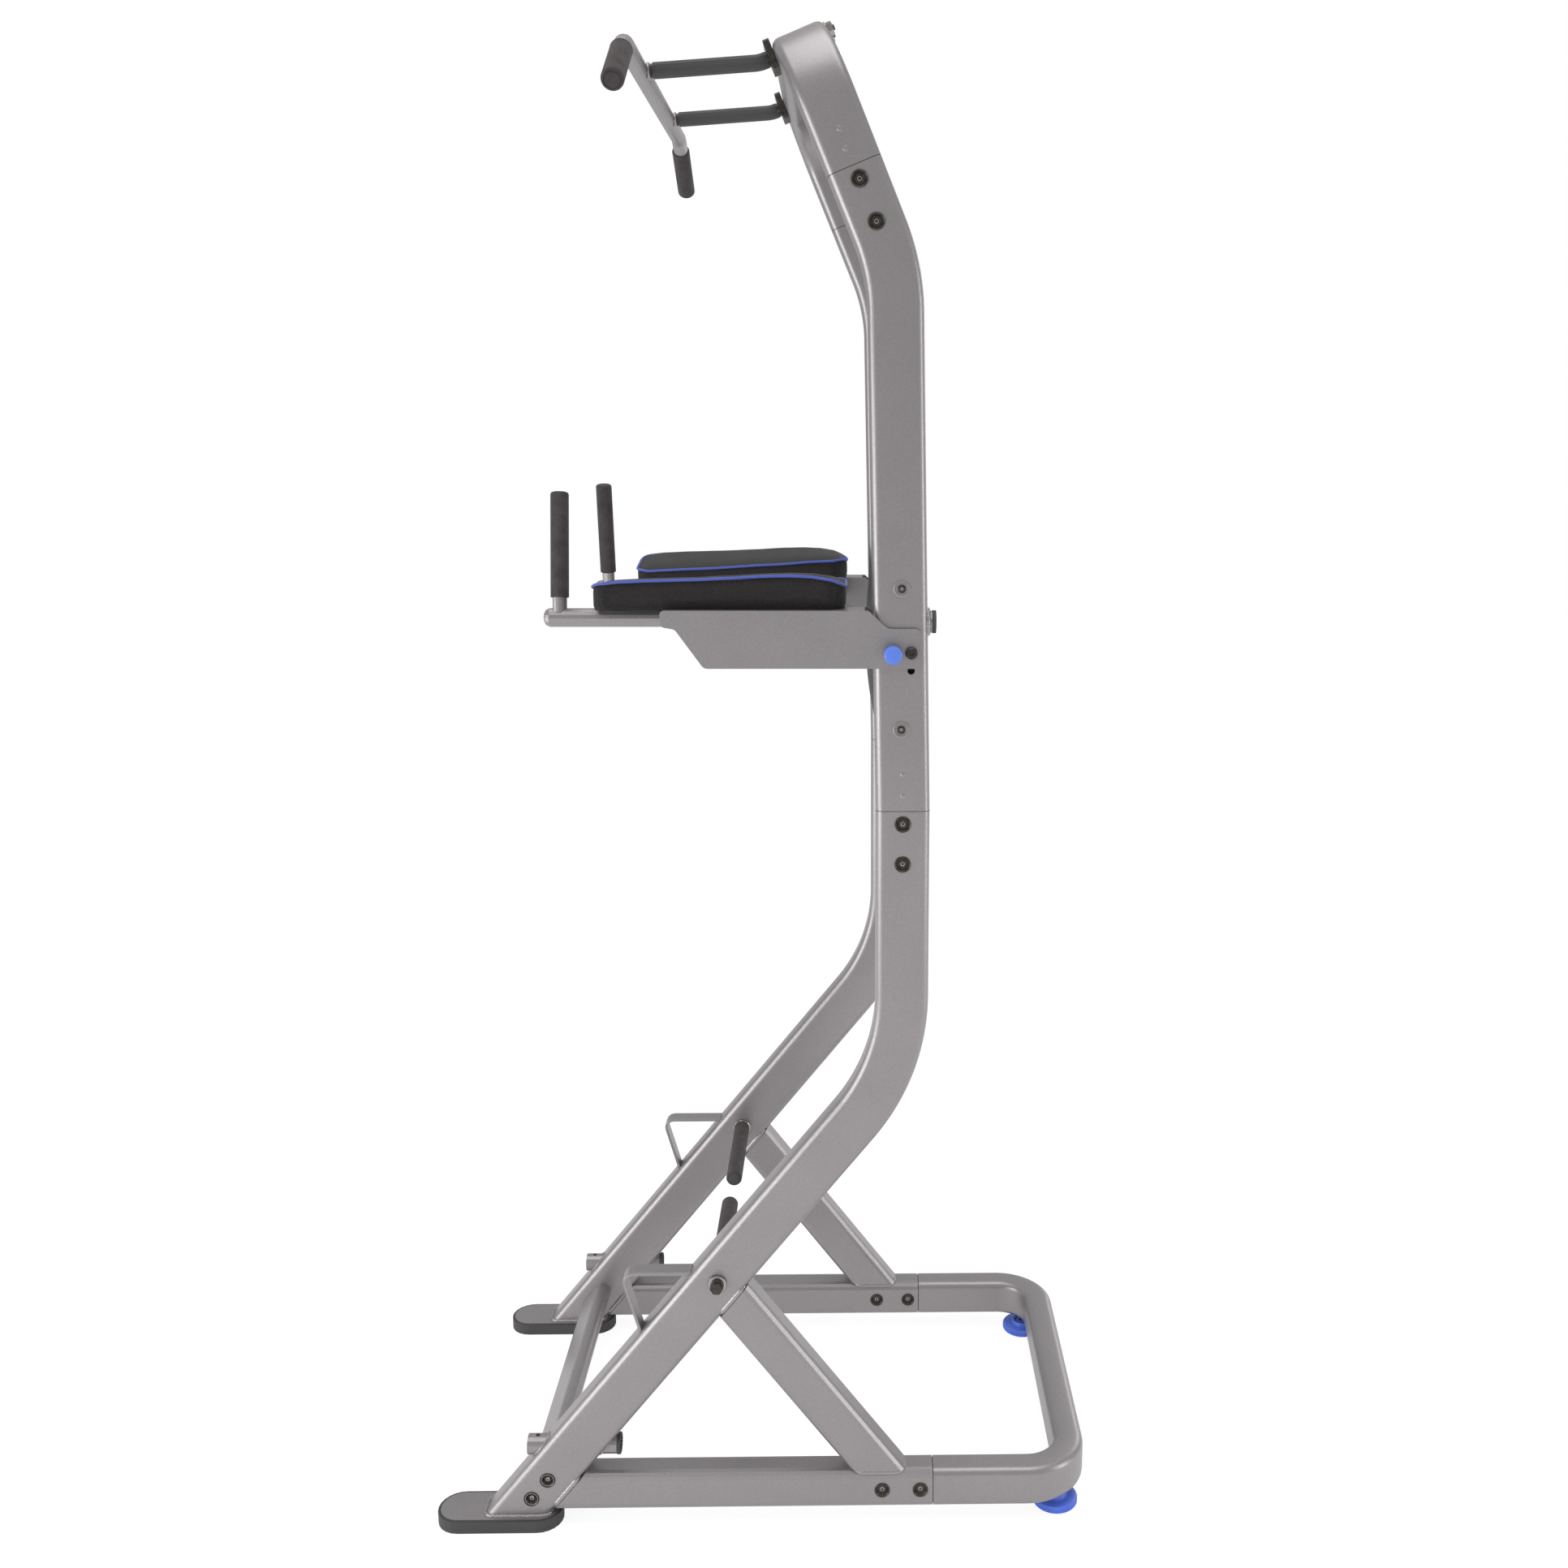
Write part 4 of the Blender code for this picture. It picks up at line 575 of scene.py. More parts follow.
print("tubes", TUBE_WIDTH, "x", TUBE_DEPTH, "m,", 2 * HALF_SPACING, "m from centre to centre")

# %% [markdown]
# ### Legs and uprights
#
# The leg runs down from the joint in mid height, bends forward by 39.2 degrees round a radius
# of 320 mm and stops on the foot plate. The upright leans by one degree and bends by another
# 21.5 degrees under the crown. Each is made on the right and mirrored to the left.


# %% Legs
def bent_tube(start, up, bend_start, radius, axis, degrees, last, foot_z):
    """The wall of a tube with one bend, cut off level at its foot."""
    shape = bmesh.new()
    ring = run(shape, tube_ring(shape, TUBE_DEPTH, start, up), bend_start - start)
    ring = bend(shape, ring, bend_start - up * radius, axis, radians(degrees))
    run(shape, ring, last)
    cut_level(shape, foot_z, clear_below=True)
    return walled(shape)


def tube_pair(node, mesh):
    """The tube on the right and its mirror image on the left, in place of the CAD nodes."""
    mirrored = mesh.copy()
    mirrored.transform(Matrix.Scale(-1, 4, X_AXIS))
    mirrored.flip_normals()
    for (hand, _), tube in zip(SIDES, (mesh, mirrored)):
        made = finish_piece(f"{node}_tube_{hand}", tube, silver)
        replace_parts(made, f"{node}_{hand}")


MID_JOINT_Z = 1.173
LEG_SLOPE, LEG_RADIUS = 39.2, 0.320
LEG_BEND = at(HALF_SPACING, 0, 0.770)
LEG_CUT_Z = 0.0216
down_the_leg = -sloped(-LEG_SLOPE)
leg_normal = -square_to(down_the_leg)


def leg_at(z):
    """The centre line of the lower leg at a height."""
    return LEG_BEND + down_the_leg * ((LEG_BEND.z - z) / -down_the_leg.z)


BOLT_HOLE, PIN_HOLE, SOCKET_HOLE = 0.0098, 0.0064, 0.0163
LOW_SOCKET_Z, REAR_SOCKET_Z = 0.131, 1.451
mid_bolts = [at(HALF_SPACING, 0, z) for z in (1.153, 1.092)]
foot_bolts = [leg_at(0.067) + down_the_leg * step for step in (-0.021, 0.021)]
handle_root = leg_at(0.420)
leg_bores = across(mid_bolts + foot_bolts, BOLT_HOLE) + across([handle_root], PIN_HOLE)
leg_bores.append((at(HALF_SPACING, -0.64, LOW_SOCKET_Z), at(HALF_SPACING, -0.40, LOW_SOCKET_Z),
                  SOCKET_HOLE))
leg = bent_tube(at(HALF_SPACING, 0, MID_JOINT_Z - SEAM_GAP), Y_AXIS,
                LEG_BEND + Z_AXIS * LEG_RADIUS * tan(radians(LEG_SLOPE / 2)), LEG_RADIUS,
                -X_AXIS, LEG_SLOPE, down_the_leg, LEG_CUT_Z)
tube_pair("leg", drilled(leg, leg_bores))

# %% Uprights
UPRIGHT_LEAN, CROWN_LEAN = 1.0, 22.5
CROWN_BEND_Z, CROWN_RADIUS, UPPER_JOINT = 1.945, 0.300, 0.151
INDEX_HOLE = 0.0054
rise, crown_rise = sloped(UPRIGHT_LEAN), sloped(CROWN_LEAN)
crown_normal = square_to(crown_rise)
crown_bend = at(HALF_SPACING, (MID_JOINT_Z - CROWN_BEND_Z) * tan(radians(UPRIGHT_LEAN)),
                CROWN_BEND_Z)
tangent = CROWN_RADIUS * tan(radians(CROWN_LEAN - UPRIGHT_LEAN) / 2)
upper_bolts = [crown_bend + crown_rise * (UPPER_JOINT - down) for down in (0.020, 0.081)]
backrest_bolts = [at(HALF_SPACING, -0.003, z) for z in (1.501, 1.295)]
pivot = at(HALF_SPACING, 0.011, 1.409)
bores = across(upper_bolts + backrest_bolts, BOLT_HOLE) + across([pivot], PIN_HOLE)
bores += [(at(0.300, y, z), at(0.320, y, z), INDEX_HOLE)
          for y, z in ((-0.016, 1.409), (0.011, 1.382))]
bores.append((at(HALF_SPACING, 0, REAR_SOCKET_Z), at(HALF_SPACING, 0.08, REAR_SOCKET_Z),
              SOCKET_HOLE))
upright = bent_tube(at(HALF_SPACING, 0, MID_JOINT_Z) - rise * 0.01, square_to(rise),
                    crown_bend - rise * tangent, CROWN_RADIUS, X_AXIS, CROWN_LEAN - UPRIGHT_LEAN,
                    crown_rise * (UPPER_JOINT - SEAM_GAP - tangent), MID_JOINT_Z)
tube_pair("upright", drilled(upright, bores))

# %% [markdown]
# ### Crown and rear base
#
# Both are one tube bent twice by a quarter turn. The crown lies in a plane that leans forward,
# the rear base lies flat, and the studs of the levelling feet enter it from below.


# %% Crown and rear base
def arch(name, node, depth, start, up, step, radius, axis, bores):
    """A tube that runs out on the right, turns twice and comes back on the left."""
    shape = bmesh.new()
    ring = run(shape, tube_ring(shape, depth, start, up), step)
    corner = start + step - X_AXIS * radius
    ring = bend(shape, ring, corner, axis, pi / 2)
    ring = run(shape, ring, X_AXIS * (2 * radius - 2 * HALF_SPACING))
    corner.x = -corner.x
    run(shape, bend(shape, ring, corner, axis, pi / 2), -step)
    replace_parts(finish_piece(name, drilled(walled(shape), bores), silver), node)


CROWN_TOP, CROWN_CORNER = 0.343, 0.105
NEUTRAL_X, FLANGE_RISE = 0.175, 0.351
flange_bolts = {side: [crown_bend + crown_rise * FLANGE_RISE
                       + X_AXIS * (side * (NEUTRAL_X + shift) - HALF_SPACING)
                       for shift in (-0.021, 0.021)] for _, side in SIDES}
arch("crown_tube", "top_arch", TUBE_DEPTH, crown_bend + crown_rise * UPPER_JOINT, crown_normal,
     crown_rise * (CROWN_TOP - CROWN_CORNER - UPPER_JOINT), CROWN_CORNER, -crown_normal,
     [(spot - crown_normal * 0.06, spot + crown_normal * 0.06, 0.0043)
      for spots in flange_bolts.values() for spot in spots])

REAR_JOINT_Y, REAR_BASE_Y, REAR_CORNER, RAIL_Z = 0.053 + SEAM_GAP, 0.281, 0.075, 0.060
FOOT_X, FOOT_Y = 0.257, 0.256
arch("rear_base_tube", "rear_base", RAIL_DEPTH, at(HALF_SPACING, REAR_JOINT_Y, RAIL_Z), Z_AXIS,
     Y_AXIS * (REAR_BASE_Y - REAR_CORNER - REAR_JOINT_Y), REAR_CORNER, Z_AXIS,
     [(at(side * FOOT_X, FOOT_Y, -0.01), at(side * FOOT_X, FOOT_Y, RAIL_Z), PIN_HOLE)
      for _, side in SIDES])

# %% [markdown]
# ## How a cushion is made
#
# A real cushion is a foam block on a board, under a cover that is cut flat, sewn and pulled
# tight. A smooth block would look like plastic, so the cover is inflated by Blender's cloth
# simulation: the block is remeshed into even cells, its seam and underside are pinned, and
# pressure swells the rest, by a capped amount, because foam is firm. The block stays straight
# while that happens and is bent to the cushion's real slope after it.

# %% Inflate a block of cloth
PRESSURE = 4
SEAM_Z = -0.001             # above it lies the top panel, below it the sides
CLOTH_MARGIN = 0.004        # the block is smaller than the cushion, which swells


def block(width, length, height, corner, foot):
    """A straight cushion block: its seam is at the top edge, at z = 0."""
    shape = bmesh.new()
    bmesh.ops.create_cube(shape, size=1)
    bmesh.ops.scale(shape, vec=(width, length, height), verts=shape.verts)
    bmesh.ops.translate(shape, vec=(0, 0, -height / 2), verts=shape.verts)
    bevelled(shape, [e for e in shape.edges
                     if abs(e.verts[0].co.z - e.verts[1].co.z) > height / 2], corner, 8)
    bevelled(shape, [e for e in shape.edges
                     if all(v.co.z < -height + 1e-5 for v in e.verts)], foot, 3)
    bmesh.ops.recalc_face_normals(shape, faces=shape.faces)
    return mesh_of("block", shape)


def inflated(mesh, held, cap):
    """Swells a mesh by cloth simulation; held(place) says which points are pinned."""
    holder = linked("cloth", mesh)
    pins = holder.vertex_groups.new(name="pins")
    for point in mesh.vertices:
        pins.add([point.index], float(held(point.co)), "REPLACE")
    cloth = holder.modifiers.new("cloth", "CLOTH")
    for name, value in (("quality", 5), ("mass", 0.3), ("use_pressure", True),
                        ("uniform_pressure_force", PRESSURE), ("vertex_group_mass", "pins")):
        setattr(cloth.settings, name, value)
    cloth.settings.effector_weights.gravity = 0
    cloth.collision_settings.use_collision = False
    scene = bpy.context.scene
    for count in range(1, 21):
        scene.frame_set(count)
    graph = bpy.context.evaluated_depsgraph_get()
    swollen = holder.evaluated_get(graph).to_mesh()
    for point, moved in zip(mesh.vertices, swollen.vertices):
        step = moved.co - point.co
        if step.length > cap:
            step *= cap / step.length
        point.co += step
    holder.modifiers.clear()
    scene.frame_set(1)
    bpy.data.objects.remove(holder)
    return mesh


def sewn_cushion(width, length, height, corner, foot, cell, cap):
    """A swollen cover: its seam and underside held, its top and sides in their own cloths."""
    width, length = width - CLOTH_MARGIN, length - CLOTH_MARGIN

    def held(place):
        rim = min(width / 2 - abs(place.x), length / 2 - abs(place.y))
        return place.z < -height + 0.003 or (place.z > -0.003 and rim < 0.0035)

    cover = with_modifier(block(width, length, height, corner, foot), "REMESH", mode="VOXEL",
                          voxel_size=cell)
    print("cushion block", len(cover.vertices), "points")
    cover = with_modifier(inflated(cover, held, cap), "SUBSURF", levels=1, render_levels=1)
    cover.materials.append(vinyl)
    cover.materials.append(side_mesh)
    shape = bmesh.new()
    shape.from_mesh(cover)
    cut_level(shape, SEAM_Z)
    for face in shape.faces:
        face.material_index = 0 if face.calc_center_median().z > SEAM_Z else 1
    shape.to_mesh(cover)
    shape.free()
    return cover


def outline_of(width, length, corner, steps=10):
    """Points round a rectangle with round corners, anticlockwise."""
    points = []
    for quarter, (x, y) in enumerate(((1, 1), (-1, 1), (-1, -1), (1, -1))):
        middle = Vector((x * (width / 2 - corner), y * (length / 2 - corner), 0))
        for step in range(steps + 1):
            angle = (quarter + step / steps) * pi / 2
            points.append(middle + Vector((cos(angle), sin(angle), 0)) * corner)
    return points


def with_long_sides_split(points, pitch):
    """The closed outline with extra points, so that it can follow a bent seam."""
    path = []
    for here, ahead in zip(points, points[1:] + points[:1]):
        count = max(1, round((ahead - here).length / pitch))
        path += [here.lerp(ahead, i / count) for i in range(count)]
    return path


def over_board(local, half_width, half_length, corner):
    """How far, from 0 to 1, a point below the seam is lifted onto the board's underside."""
    past_x, past_y = abs(local.x) - half_width + corner, abs(local.y) - half_length + corner
    inside = corner - hypot(max(past_x, 0), max(past_y, 0)) - min(0, max(past_x, past_y))
    return min(1, (inside + 0.001) / 0.0025)


def cushion_piece(name, mesh, body, replaced):
    """Links a cushion whose mesh is already in its place."""
    made = riding(name, mesh, body)
    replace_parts(made, replaced)


# %% [markdown]
# ## The two arm cushions
#
# The forearms rest on these. Seen from the side, the blue piping climbs from the front to
# the rear and drops round the rear corner, and the top leans inwards, to keep the forearms
# on it. The heights of the outer and of the inner seam are listed from front to rear and
# joined smoothly. The sides wrap the board's edge and end on the bracket.

# %% Arm cushions
pad_low, pad_high, pad_middle = corners("arm_pad_right")
board_low, board_high, _ = corners("arm_pad_board_right")
PAD_WIDTH, PAD_LENGTH = pad_high.x - pad_low.x, pad_high.y - pad_low.y
PAD_CORNER, PAD_BLOCK, PAD_CROWN = 0.026, 0.042, 0.0070
PAD_BASE_Z = board_low.z + GAP
BOARD_CORNER = 0.013
TUBE_DROP = 0.0034          # the skirt hangs lower in front, down to the arm's tube
OUTER_SEAM = ((0.0, 1.5040), (0.11, 1.5088), (0.24, 1.5108), (0.40, 1.5122), (0.55, 1.5145),
              (0.69, 1.5175), (0.78, 1.5180), (0.86, 1.5165), (0.93, 1.5125), (1.0, 1.5005))
INNER_SEAM = ((0.0, 1.4840), (0.30, 1.4888), (0.64, 1.4960), (0.86, 1.5017), (1.0, 1.5045))


def along(table, share):
    """A smooth value between the rows of a table."""
    for (low, first), (high, last) in zip(table, table[1:]):
        if share <= high:
            step = max(0.0, (share - low) / (high - low))
            return first + (last - first) * (step + step * step * (3 - 2 * step)) / 2
    return table[-1][1]


def arm_pad_place(side, local):
    """Where a point of the straight block ends up on the finished cushion."""
    local_z = -PAD_BLOCK if local.z < -PAD_BLOCK + 0.003 else local.z
    inner_to_outer = min(1, max(0, 0.5 + local.x / PAD_WIDTH))
    front_to_rear = min(1, max(0, 0.5 + local.y / PAD_LENGTH))
    inner, outer = along(INNER_SEAM, front_to_rear), along(OUTER_SEAM, front_to_rear)
    seam = inner + (outer - inner) * inner_to_outer
    base = PAD_BASE_Z - TUBE_DROP * min(1, max(0, (0.34 - front_to_rear) / 0.06))
    if local_z > SEAM_Z:
        off_x, off_y = abs(2 * local.x / PAD_WIDTH), abs(2 * local.y / PAD_LENGTH)
        z = seam + local_z + PAD_CROWN * (1 - off_x ** 6) * (1 - off_y ** 14)
    else:
        z = base + (seam - base) * max(0.0, 1 + local_z / PAD_BLOCK)
    lift = over_board(local, (board_high.x - board_low.x) / 2,
                      (board_high.y - board_low.y) / 2, BOARD_CORNER)
    if local_z < -PAD_BLOCK / 2 and lift > 0:
        z = max(z, PAD_BASE_Z + (board_high.z - board_low.z) * lift)
    return Vector((side * (pad_middle.x + local.x), pad_middle.y + local.y, z))


sewn = sewn_cushion(PAD_WIDTH, PAD_LENGTH, PAD_BLOCK, PAD_CORNER, 0.006, 0.004, 0.006)
rim = with_long_sides_split(outline_of(PAD_WIDTH - 0.003, PAD_LENGTH - 0.003, PAD_CORNER), 0.012)
for hand, side in SIDES:
    mesh = sewn.copy()
    for point in mesh.vertices:
        point.co = arm_pad_place(side, point.co)
    if side < 0:
        mesh.flip_normals()
    cushion_piece(f"arm_cushion_{hand}", mesh, f"arm_{hand}", f"arm_pad_{hand}")
    swept(f"arm_piping_{hand}", [arm_pad_place(side, spot) for spot in rim], 0.0021,
          piping_cloth, f"arm_{hand}")

# %% [markdown]
# ## The backrest cushion
#
# It hangs between the uprights and is thin at its edge, with a high crown that stands in
# front of the uprights. The same kind of block serves, laid on its back: its top, at z = 0,
# becomes the front of the cushion.

# %% Backrest cushion
back_low, back_high, back_middle = corners("backrest_pad")
BACK_WIDTH, BACK_HEIGHT = back_high.x - back_low.x, back_high.z - back_low.z
BACK_CORNER, BACK_EDGE, BACK_CROWN = 0.058, 0.021, 0.0095
BACK_BOARD_INSET, BACK_BOARD_THICKNESS = 0.010, 0.0103
on_board_y = corners("backrest_board")[1].y - GAP


def backrest_place(local):
    """Turns the block's top to the front and gives it its crown."""
    off_x = min(1, abs(2 * local.x / BACK_WIDTH))
    off_z = min(1, abs(2 * local.y / BACK_HEIGHT))
    crown = BACK_CROWN * (1 - off_x ** 3) * (1 - off_z ** 3) if local.z > -0.002 else 0
    y = on_board_y - BACK_EDGE - local.z - crown
    lift = over_board(local, BACK_WIDTH / 2 - BACK_BOARD_INSET,
                      BACK_HEIGHT / 2 - BACK_BOARD_INSET, BACK_CORNER - BACK_BOARD_INSET)
    if local.z < -BACK_EDGE / 2 and lift > 0:
        y = min(y, on_board_y - BACK_BOARD_THICKNESS * lift)
    return Vector((local.x, min(y, on_board_y), back_middle.z + local.y))


mesh = sewn_cushion(BACK_WIDTH, BACK_HEIGHT, BACK_EDGE, BACK_CORNER, 0.003, 0.005, 0.005)
for point in mesh.vertices:
    point.co = backrest_place(point.co)
cushion_piece("backrest_cushion", mesh, "frame", "backrest_pad")
rim = with_long_sides_split(outline_of(BACK_WIDTH - 0.003, BACK_HEIGHT - 0.003, BACK_CORNER),
                            0.02)
swept("backrest_piping", [backrest_place(spot - Z_AXIS * 0.0025) for spot in rim], 0.002,
      piping_cloth)

# %% [markdown]
# ## Bolts, nuts and screws
#
# Each joint bolt sits in a flared cup with a bright hexagon-socket screw at its bottom. The
# CAD cups are coarse cones, so a finely turned liner lies on each of them. The hexagons are
# real recesses, cut by a six-sided drill, because a painted one would not catch the light.

# %% Cups and screws
CUP = ((0.0, -0.0046), (0.0060, -0.0046), (0.0075, -0.0034), (0.0100, 0.0002), (0.0110, 0.0014),
       (0.0117, 0.0017), (0.0122, 0.0013), (0.0123, 0.0004), (0.0090, 0.0001), (0.0055, -0.0056),
       (0.0, -0.0056))
SCREW = ((0.0, -0.0022), (0.0020, -0.0022), (0.0034, -0.0025), (0.0042, -0.0033),
         (0.0044, -0.0050), (0.0, -0.0050))
PAINTED_RING = ((0.0, -0.0016), (0.0080, -0.0016), (0.0086, 0.0004), (0.0096, 0.0015),
                (0.0116, 0.0017), (0.0124, 0.0012), (0.0127, 0.0002), (0.0, 0.0001))
BUTTON_HEAD = ((0.0, 0.0014), (0.0036, 0.0013), (0.0058, 0.0007), (0.0072, -0.0004),
               (0.0077, -0.0014), (0.0, -0.0015))
PIVOT_HEAD = ((0.0, 0.0089), (0.0045, 0.0089), (0.0070, 0.0083), (0.0086, 0.0066),
              (0.0089, 0.0050), (0.0089, 0.0001), (0.0, 0.0001))
BRACKET_FACE = 0.0063       # the pivot's head lies this far out from the upright's face


def tube_faces(places, side, faces):
    """Where a bolt meets the faces of its tube, as (place, direction out of the tube)."""
    return [(Vector((side * place.x, place.y, place.z)) + X_AXIS * (face * TUBE_WIDTH / 2),
             X_AXIS * face) for place in places for face in faces]


def socket_screws(name, profile, spots, surface, hexagon, depth, top):
    """Heads turned from a profile, each with a hexagon socket; spots are (place, axis)."""
    shape = bmesh.new()
    for place, axis in spots:
        spin_profile(shape, profile, place, axis, 40)
    face_outwards(shape)
    sockets = [(place + axis * (top - depth), place + axis * (top + 0.004), hexagon)
               for place, axis in spots]
    finish_piece(name, drilled(mesh_of(name, shape), sockets, 6), surface)


for hand, side in SIDES:
    for joint, bolts, faces in (("mid", mid_bolts, (1, -1)), ("upper", upper_bolts, (1, -1)),
                                ("rear", [at(HALF_SPACING, y, RAIL_Z) for y in (0.033, -0.028)],
                                 (1, -1)), ("cross", foot_bolts, (side,))):
        spots = tube_faces(bolts, side, faces)
        turned(f"{joint}_{hand}_cups", CUP, spots, dark_zinc, sharp=50)
        socket_screws(f"{joint}_{hand}_screws", SCREW, spots, bright_screw, 0.0023, 0.0018,
                      -0.0022)
    spots = tube_faces(backrest_bolts, side, (side,))
    turned(f"backrest_rings_{hand}", PAINTED_RING, spots, silver, sharp=40)
    socket_screws(f"backrest_screws_{hand}", BUTTON_HEAD, spots, dark_zinc, 0.0030, 0.0022,
                  0.0014)
    (place, axis), = tube_faces([pivot], side, (side,))
    socket_screws(f"pivot_head_{hand}", PIVOT_HEAD, [(place + axis * BRACKET_FACE, axis)],
                  dark_zinc, 0.0042, 0.0026, 0.0089)

# %% [markdown]
# ## Low handles
#
# Each low handle is a foam-covered stub inside the leg, held by a hexagon bolt through it. The
# head stands on a washer, a bright collar closes the gap between leg and foam, and the foam's
# end has a harder disc. The head could be turned like the screws, but its six flats show, so
# it is a prism whose end edges are bevelled.

# %% Low handles
LOW_WASHER = ((0.0, 0.0002), (0.0150, 0.0002), (0.0152, 0.0008), (0.0148, 0.0026),
              (0.0138, 0.0032), (0.0, 0.0033))
LOW_CAP = ((0.0, 0.0010), (0.0082, 0.0010), (0.0092, 0.0005), (0.0096, -0.0010), (0.0, -0.0010))
low, high, grip_middle = corners("low_handle_grip_right")
grip_radius = (high.z - low.z) / 2
COLLAR = [(grip_radius + past, along_x) for past, along_x in
          ((-0.0012, 0.0), (0.0024, 0.0), (0.0028, 0.0006), (0.0028, 0.0056), (0.0018, 0.0066),
           (-0.0012, 0.0068), (-0.0012, 0.0))]


def hexagon_head(shape, place, axis, radius, height):
    """Adds a six-sided head or nut that stands on a place, its end edges turned off."""
    points = prism(shape, place, place + axis * height, radius, 6)
    ends = {e for v in points for e in v.link_edges
            if any(len(f.verts) == 6 for f in e.link_faces)}
    bevelled(shape, list(ends), 0.0011, 2)


for hand, side in SIDES:
    (place, axis), = tube_faces([handle_root], side, (side,))
    shape = bmesh.new()
    hexagon_head(shape, place + axis * 0.0030, axis, 0.0102, 0.0150)
    piece(f"low_handle_head_{hand}", shape, dark_zinc, sharp=30)
    turned(f"low_handle_washer_{hand}", LOW_WASHER, [(place, axis)], bright_screw)
    for name, profile, x, surface, steps in (
            ("cap", LOW_CAP, low.x, rubber, 32),
            ("collar", COLLAR, INNER_FACE - GAP, bright_screw, 40)):
        turned(f"low_handle_{name}_{hand}", profile,
               [(Vector((side * x, grip_middle.y, grip_middle.z)), -axis)], surface, steps=steps)

# %% [markdown]
# ## Flange nuts
#
# The pull-up frame's flanges are clamped by hexagon nuts behind the crown. A nut is the same
# bevelled prism as the low handles' heads, and a washer is turned under it.

# %% Flange nuts
NUT_WASHER = ((0.0045, 0.0002), (0.0118, 0.0002), (0.0120, 0.0006), (0.0118, 0.0012),
              (0.0045, 0.0012), (0.0045, 0.0002))
for hand, side in SIDES:
    shape = bmesh.new()
    for spot in flange_bolts[side]:
        face = spot + crown_normal * (TUBE_DEPTH / 2)
        hexagon_head(shape, face + crown_normal * 0.0011, crown_normal, 0.0101, 0.0094)
        spin_profile(shape, NUT_WASHER, face, crown_normal, 36)
    piece(f"flange_nuts_{hand}", shape, bright_screw, sharp=30)

# %% [markdown]
# ## Plug welds and socket rims
#
# Inside each painted tube sits a plug that is welded through small holes, and the dots show
# as shallow domes in the paint. The rear and the low sockets end in a black rubber rim. Both
# are turned.

# %% Plug welds and socket rims
DOT = ((0.0, 0.0009), (0.0016, 0.0008), (0.0030, 0.0004), (0.0040, 0.0), (0.0046, -0.0004),
       (0.0, -0.0006))
DOT_SPOTS = ((0, 1.228), (0, 1.196), (-0.091, 2.131), (-0.083, 2.105))
RIM = ((0.0133, -0.0050), (0.0164, -0.0050), (0.0168, -0.0044), (0.0168, 0.0002),
       (0.0163, 0.0008), (0.0138, 0.0008), (0.0133, 0.0003), (0.0133, -0.0050))
for hand, side in SIDES:
    turned(f"plug_welds_{hand}", DOT,
           [(at(side * OUTER_FACE, y, z), X_AXIS * side) for y, z in DOT_SPOTS], silver,
           steps=24, sharp=60)
    turned(f"rear_socket_rim_{hand}", RIM,
           [(at(side * HALF_SPACING, y, z), Y_AXIS)
            for y, z in ((0.047, REAR_SOCKET_Z), (-0.446, LOW_SOCKET_Z))], rubber)

# %% [markdown]
# ## Levelling feet
#
# A levelling foot is a moulded blue disc with a serrated rim, to turn it by hand, a hub with
# a raised ring and a zinc stud. The serration could be a bump, but it shows on the outline, so
# every other column of the rim's points is drawn in.

# %% Levelling feet
TEETH, TOOTH_DEPTH = 100, 0.0010
FOOT_RIM = 0.0365
FOOT_PROFILE = ((0.0, 0.0), (0.0335, 0.0), (0.0350, 0.0012), (FOOT_RIM, 0.0030),
                (FOOT_RIM, 0.0105), (0.0352, 0.0124), (0.0335, 0.0130), (0.0200, 0.0130),
                (0.0188, 0.0138), (0.0182, 0.0178), (0.0174, 0.0190), (0.0150, 0.0190),
                (0.0142, 0.0180), (0.0138, 0.0160), (0.0115, 0.0158), (0.0108, 0.0165),
                (0.0104, 0.0186), (0.0, 0.0188))
STUD_PROFILE = ((0.0, 0.0189), (0.0060, 0.0189), (0.0060, 0.0740), (0.0050, 0.0750),
                (0.0, 0.0750))
for hand, side in SIDES:
    place, body = at(side * FOOT_X, FOOT_Y, 0), f"levelling_{hand}"
    shape = bmesh.new()
    spin_profile(shape, FOOT_PROFILE, (0, 0, 0), Z_AXIS, 2 * TEETH)
    bmesh.ops.remove_doubles(shape, verts=shape.verts, dist=1e-6)
    for point in shape.verts:
        spoke = Vector((point.co.x, point.co.y, 0))
        column = round(atan2(spoke.y, spoke.x) * TEETH / pi)
        if column % 2 and spoke.length > FOOT_RIM - 0.0004:
            point.co -= spoke.normalized() * TOOTH_DEPTH
    bmesh.ops.translate(shape, vec=place, verts=shape.verts)
    disc = piece(f"levelling_disc_{hand}", shape, foot_blue, body, 28)
    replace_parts(disc, f"levelling_foot_{hand}")
    turned(f"levelling_stud_{hand}", STUD_PROFILE, [(place, Z_AXIS)], dark_zinc, body,
           steps=32)

# %% [markdown]
# ## Pull pins
#
# The pull pin's knob is a plain blue cylinder with soft edges on a steel pin. It could be
# solid, but it slides over the bracket's boss when the pin goes in, so it is turned hollow.

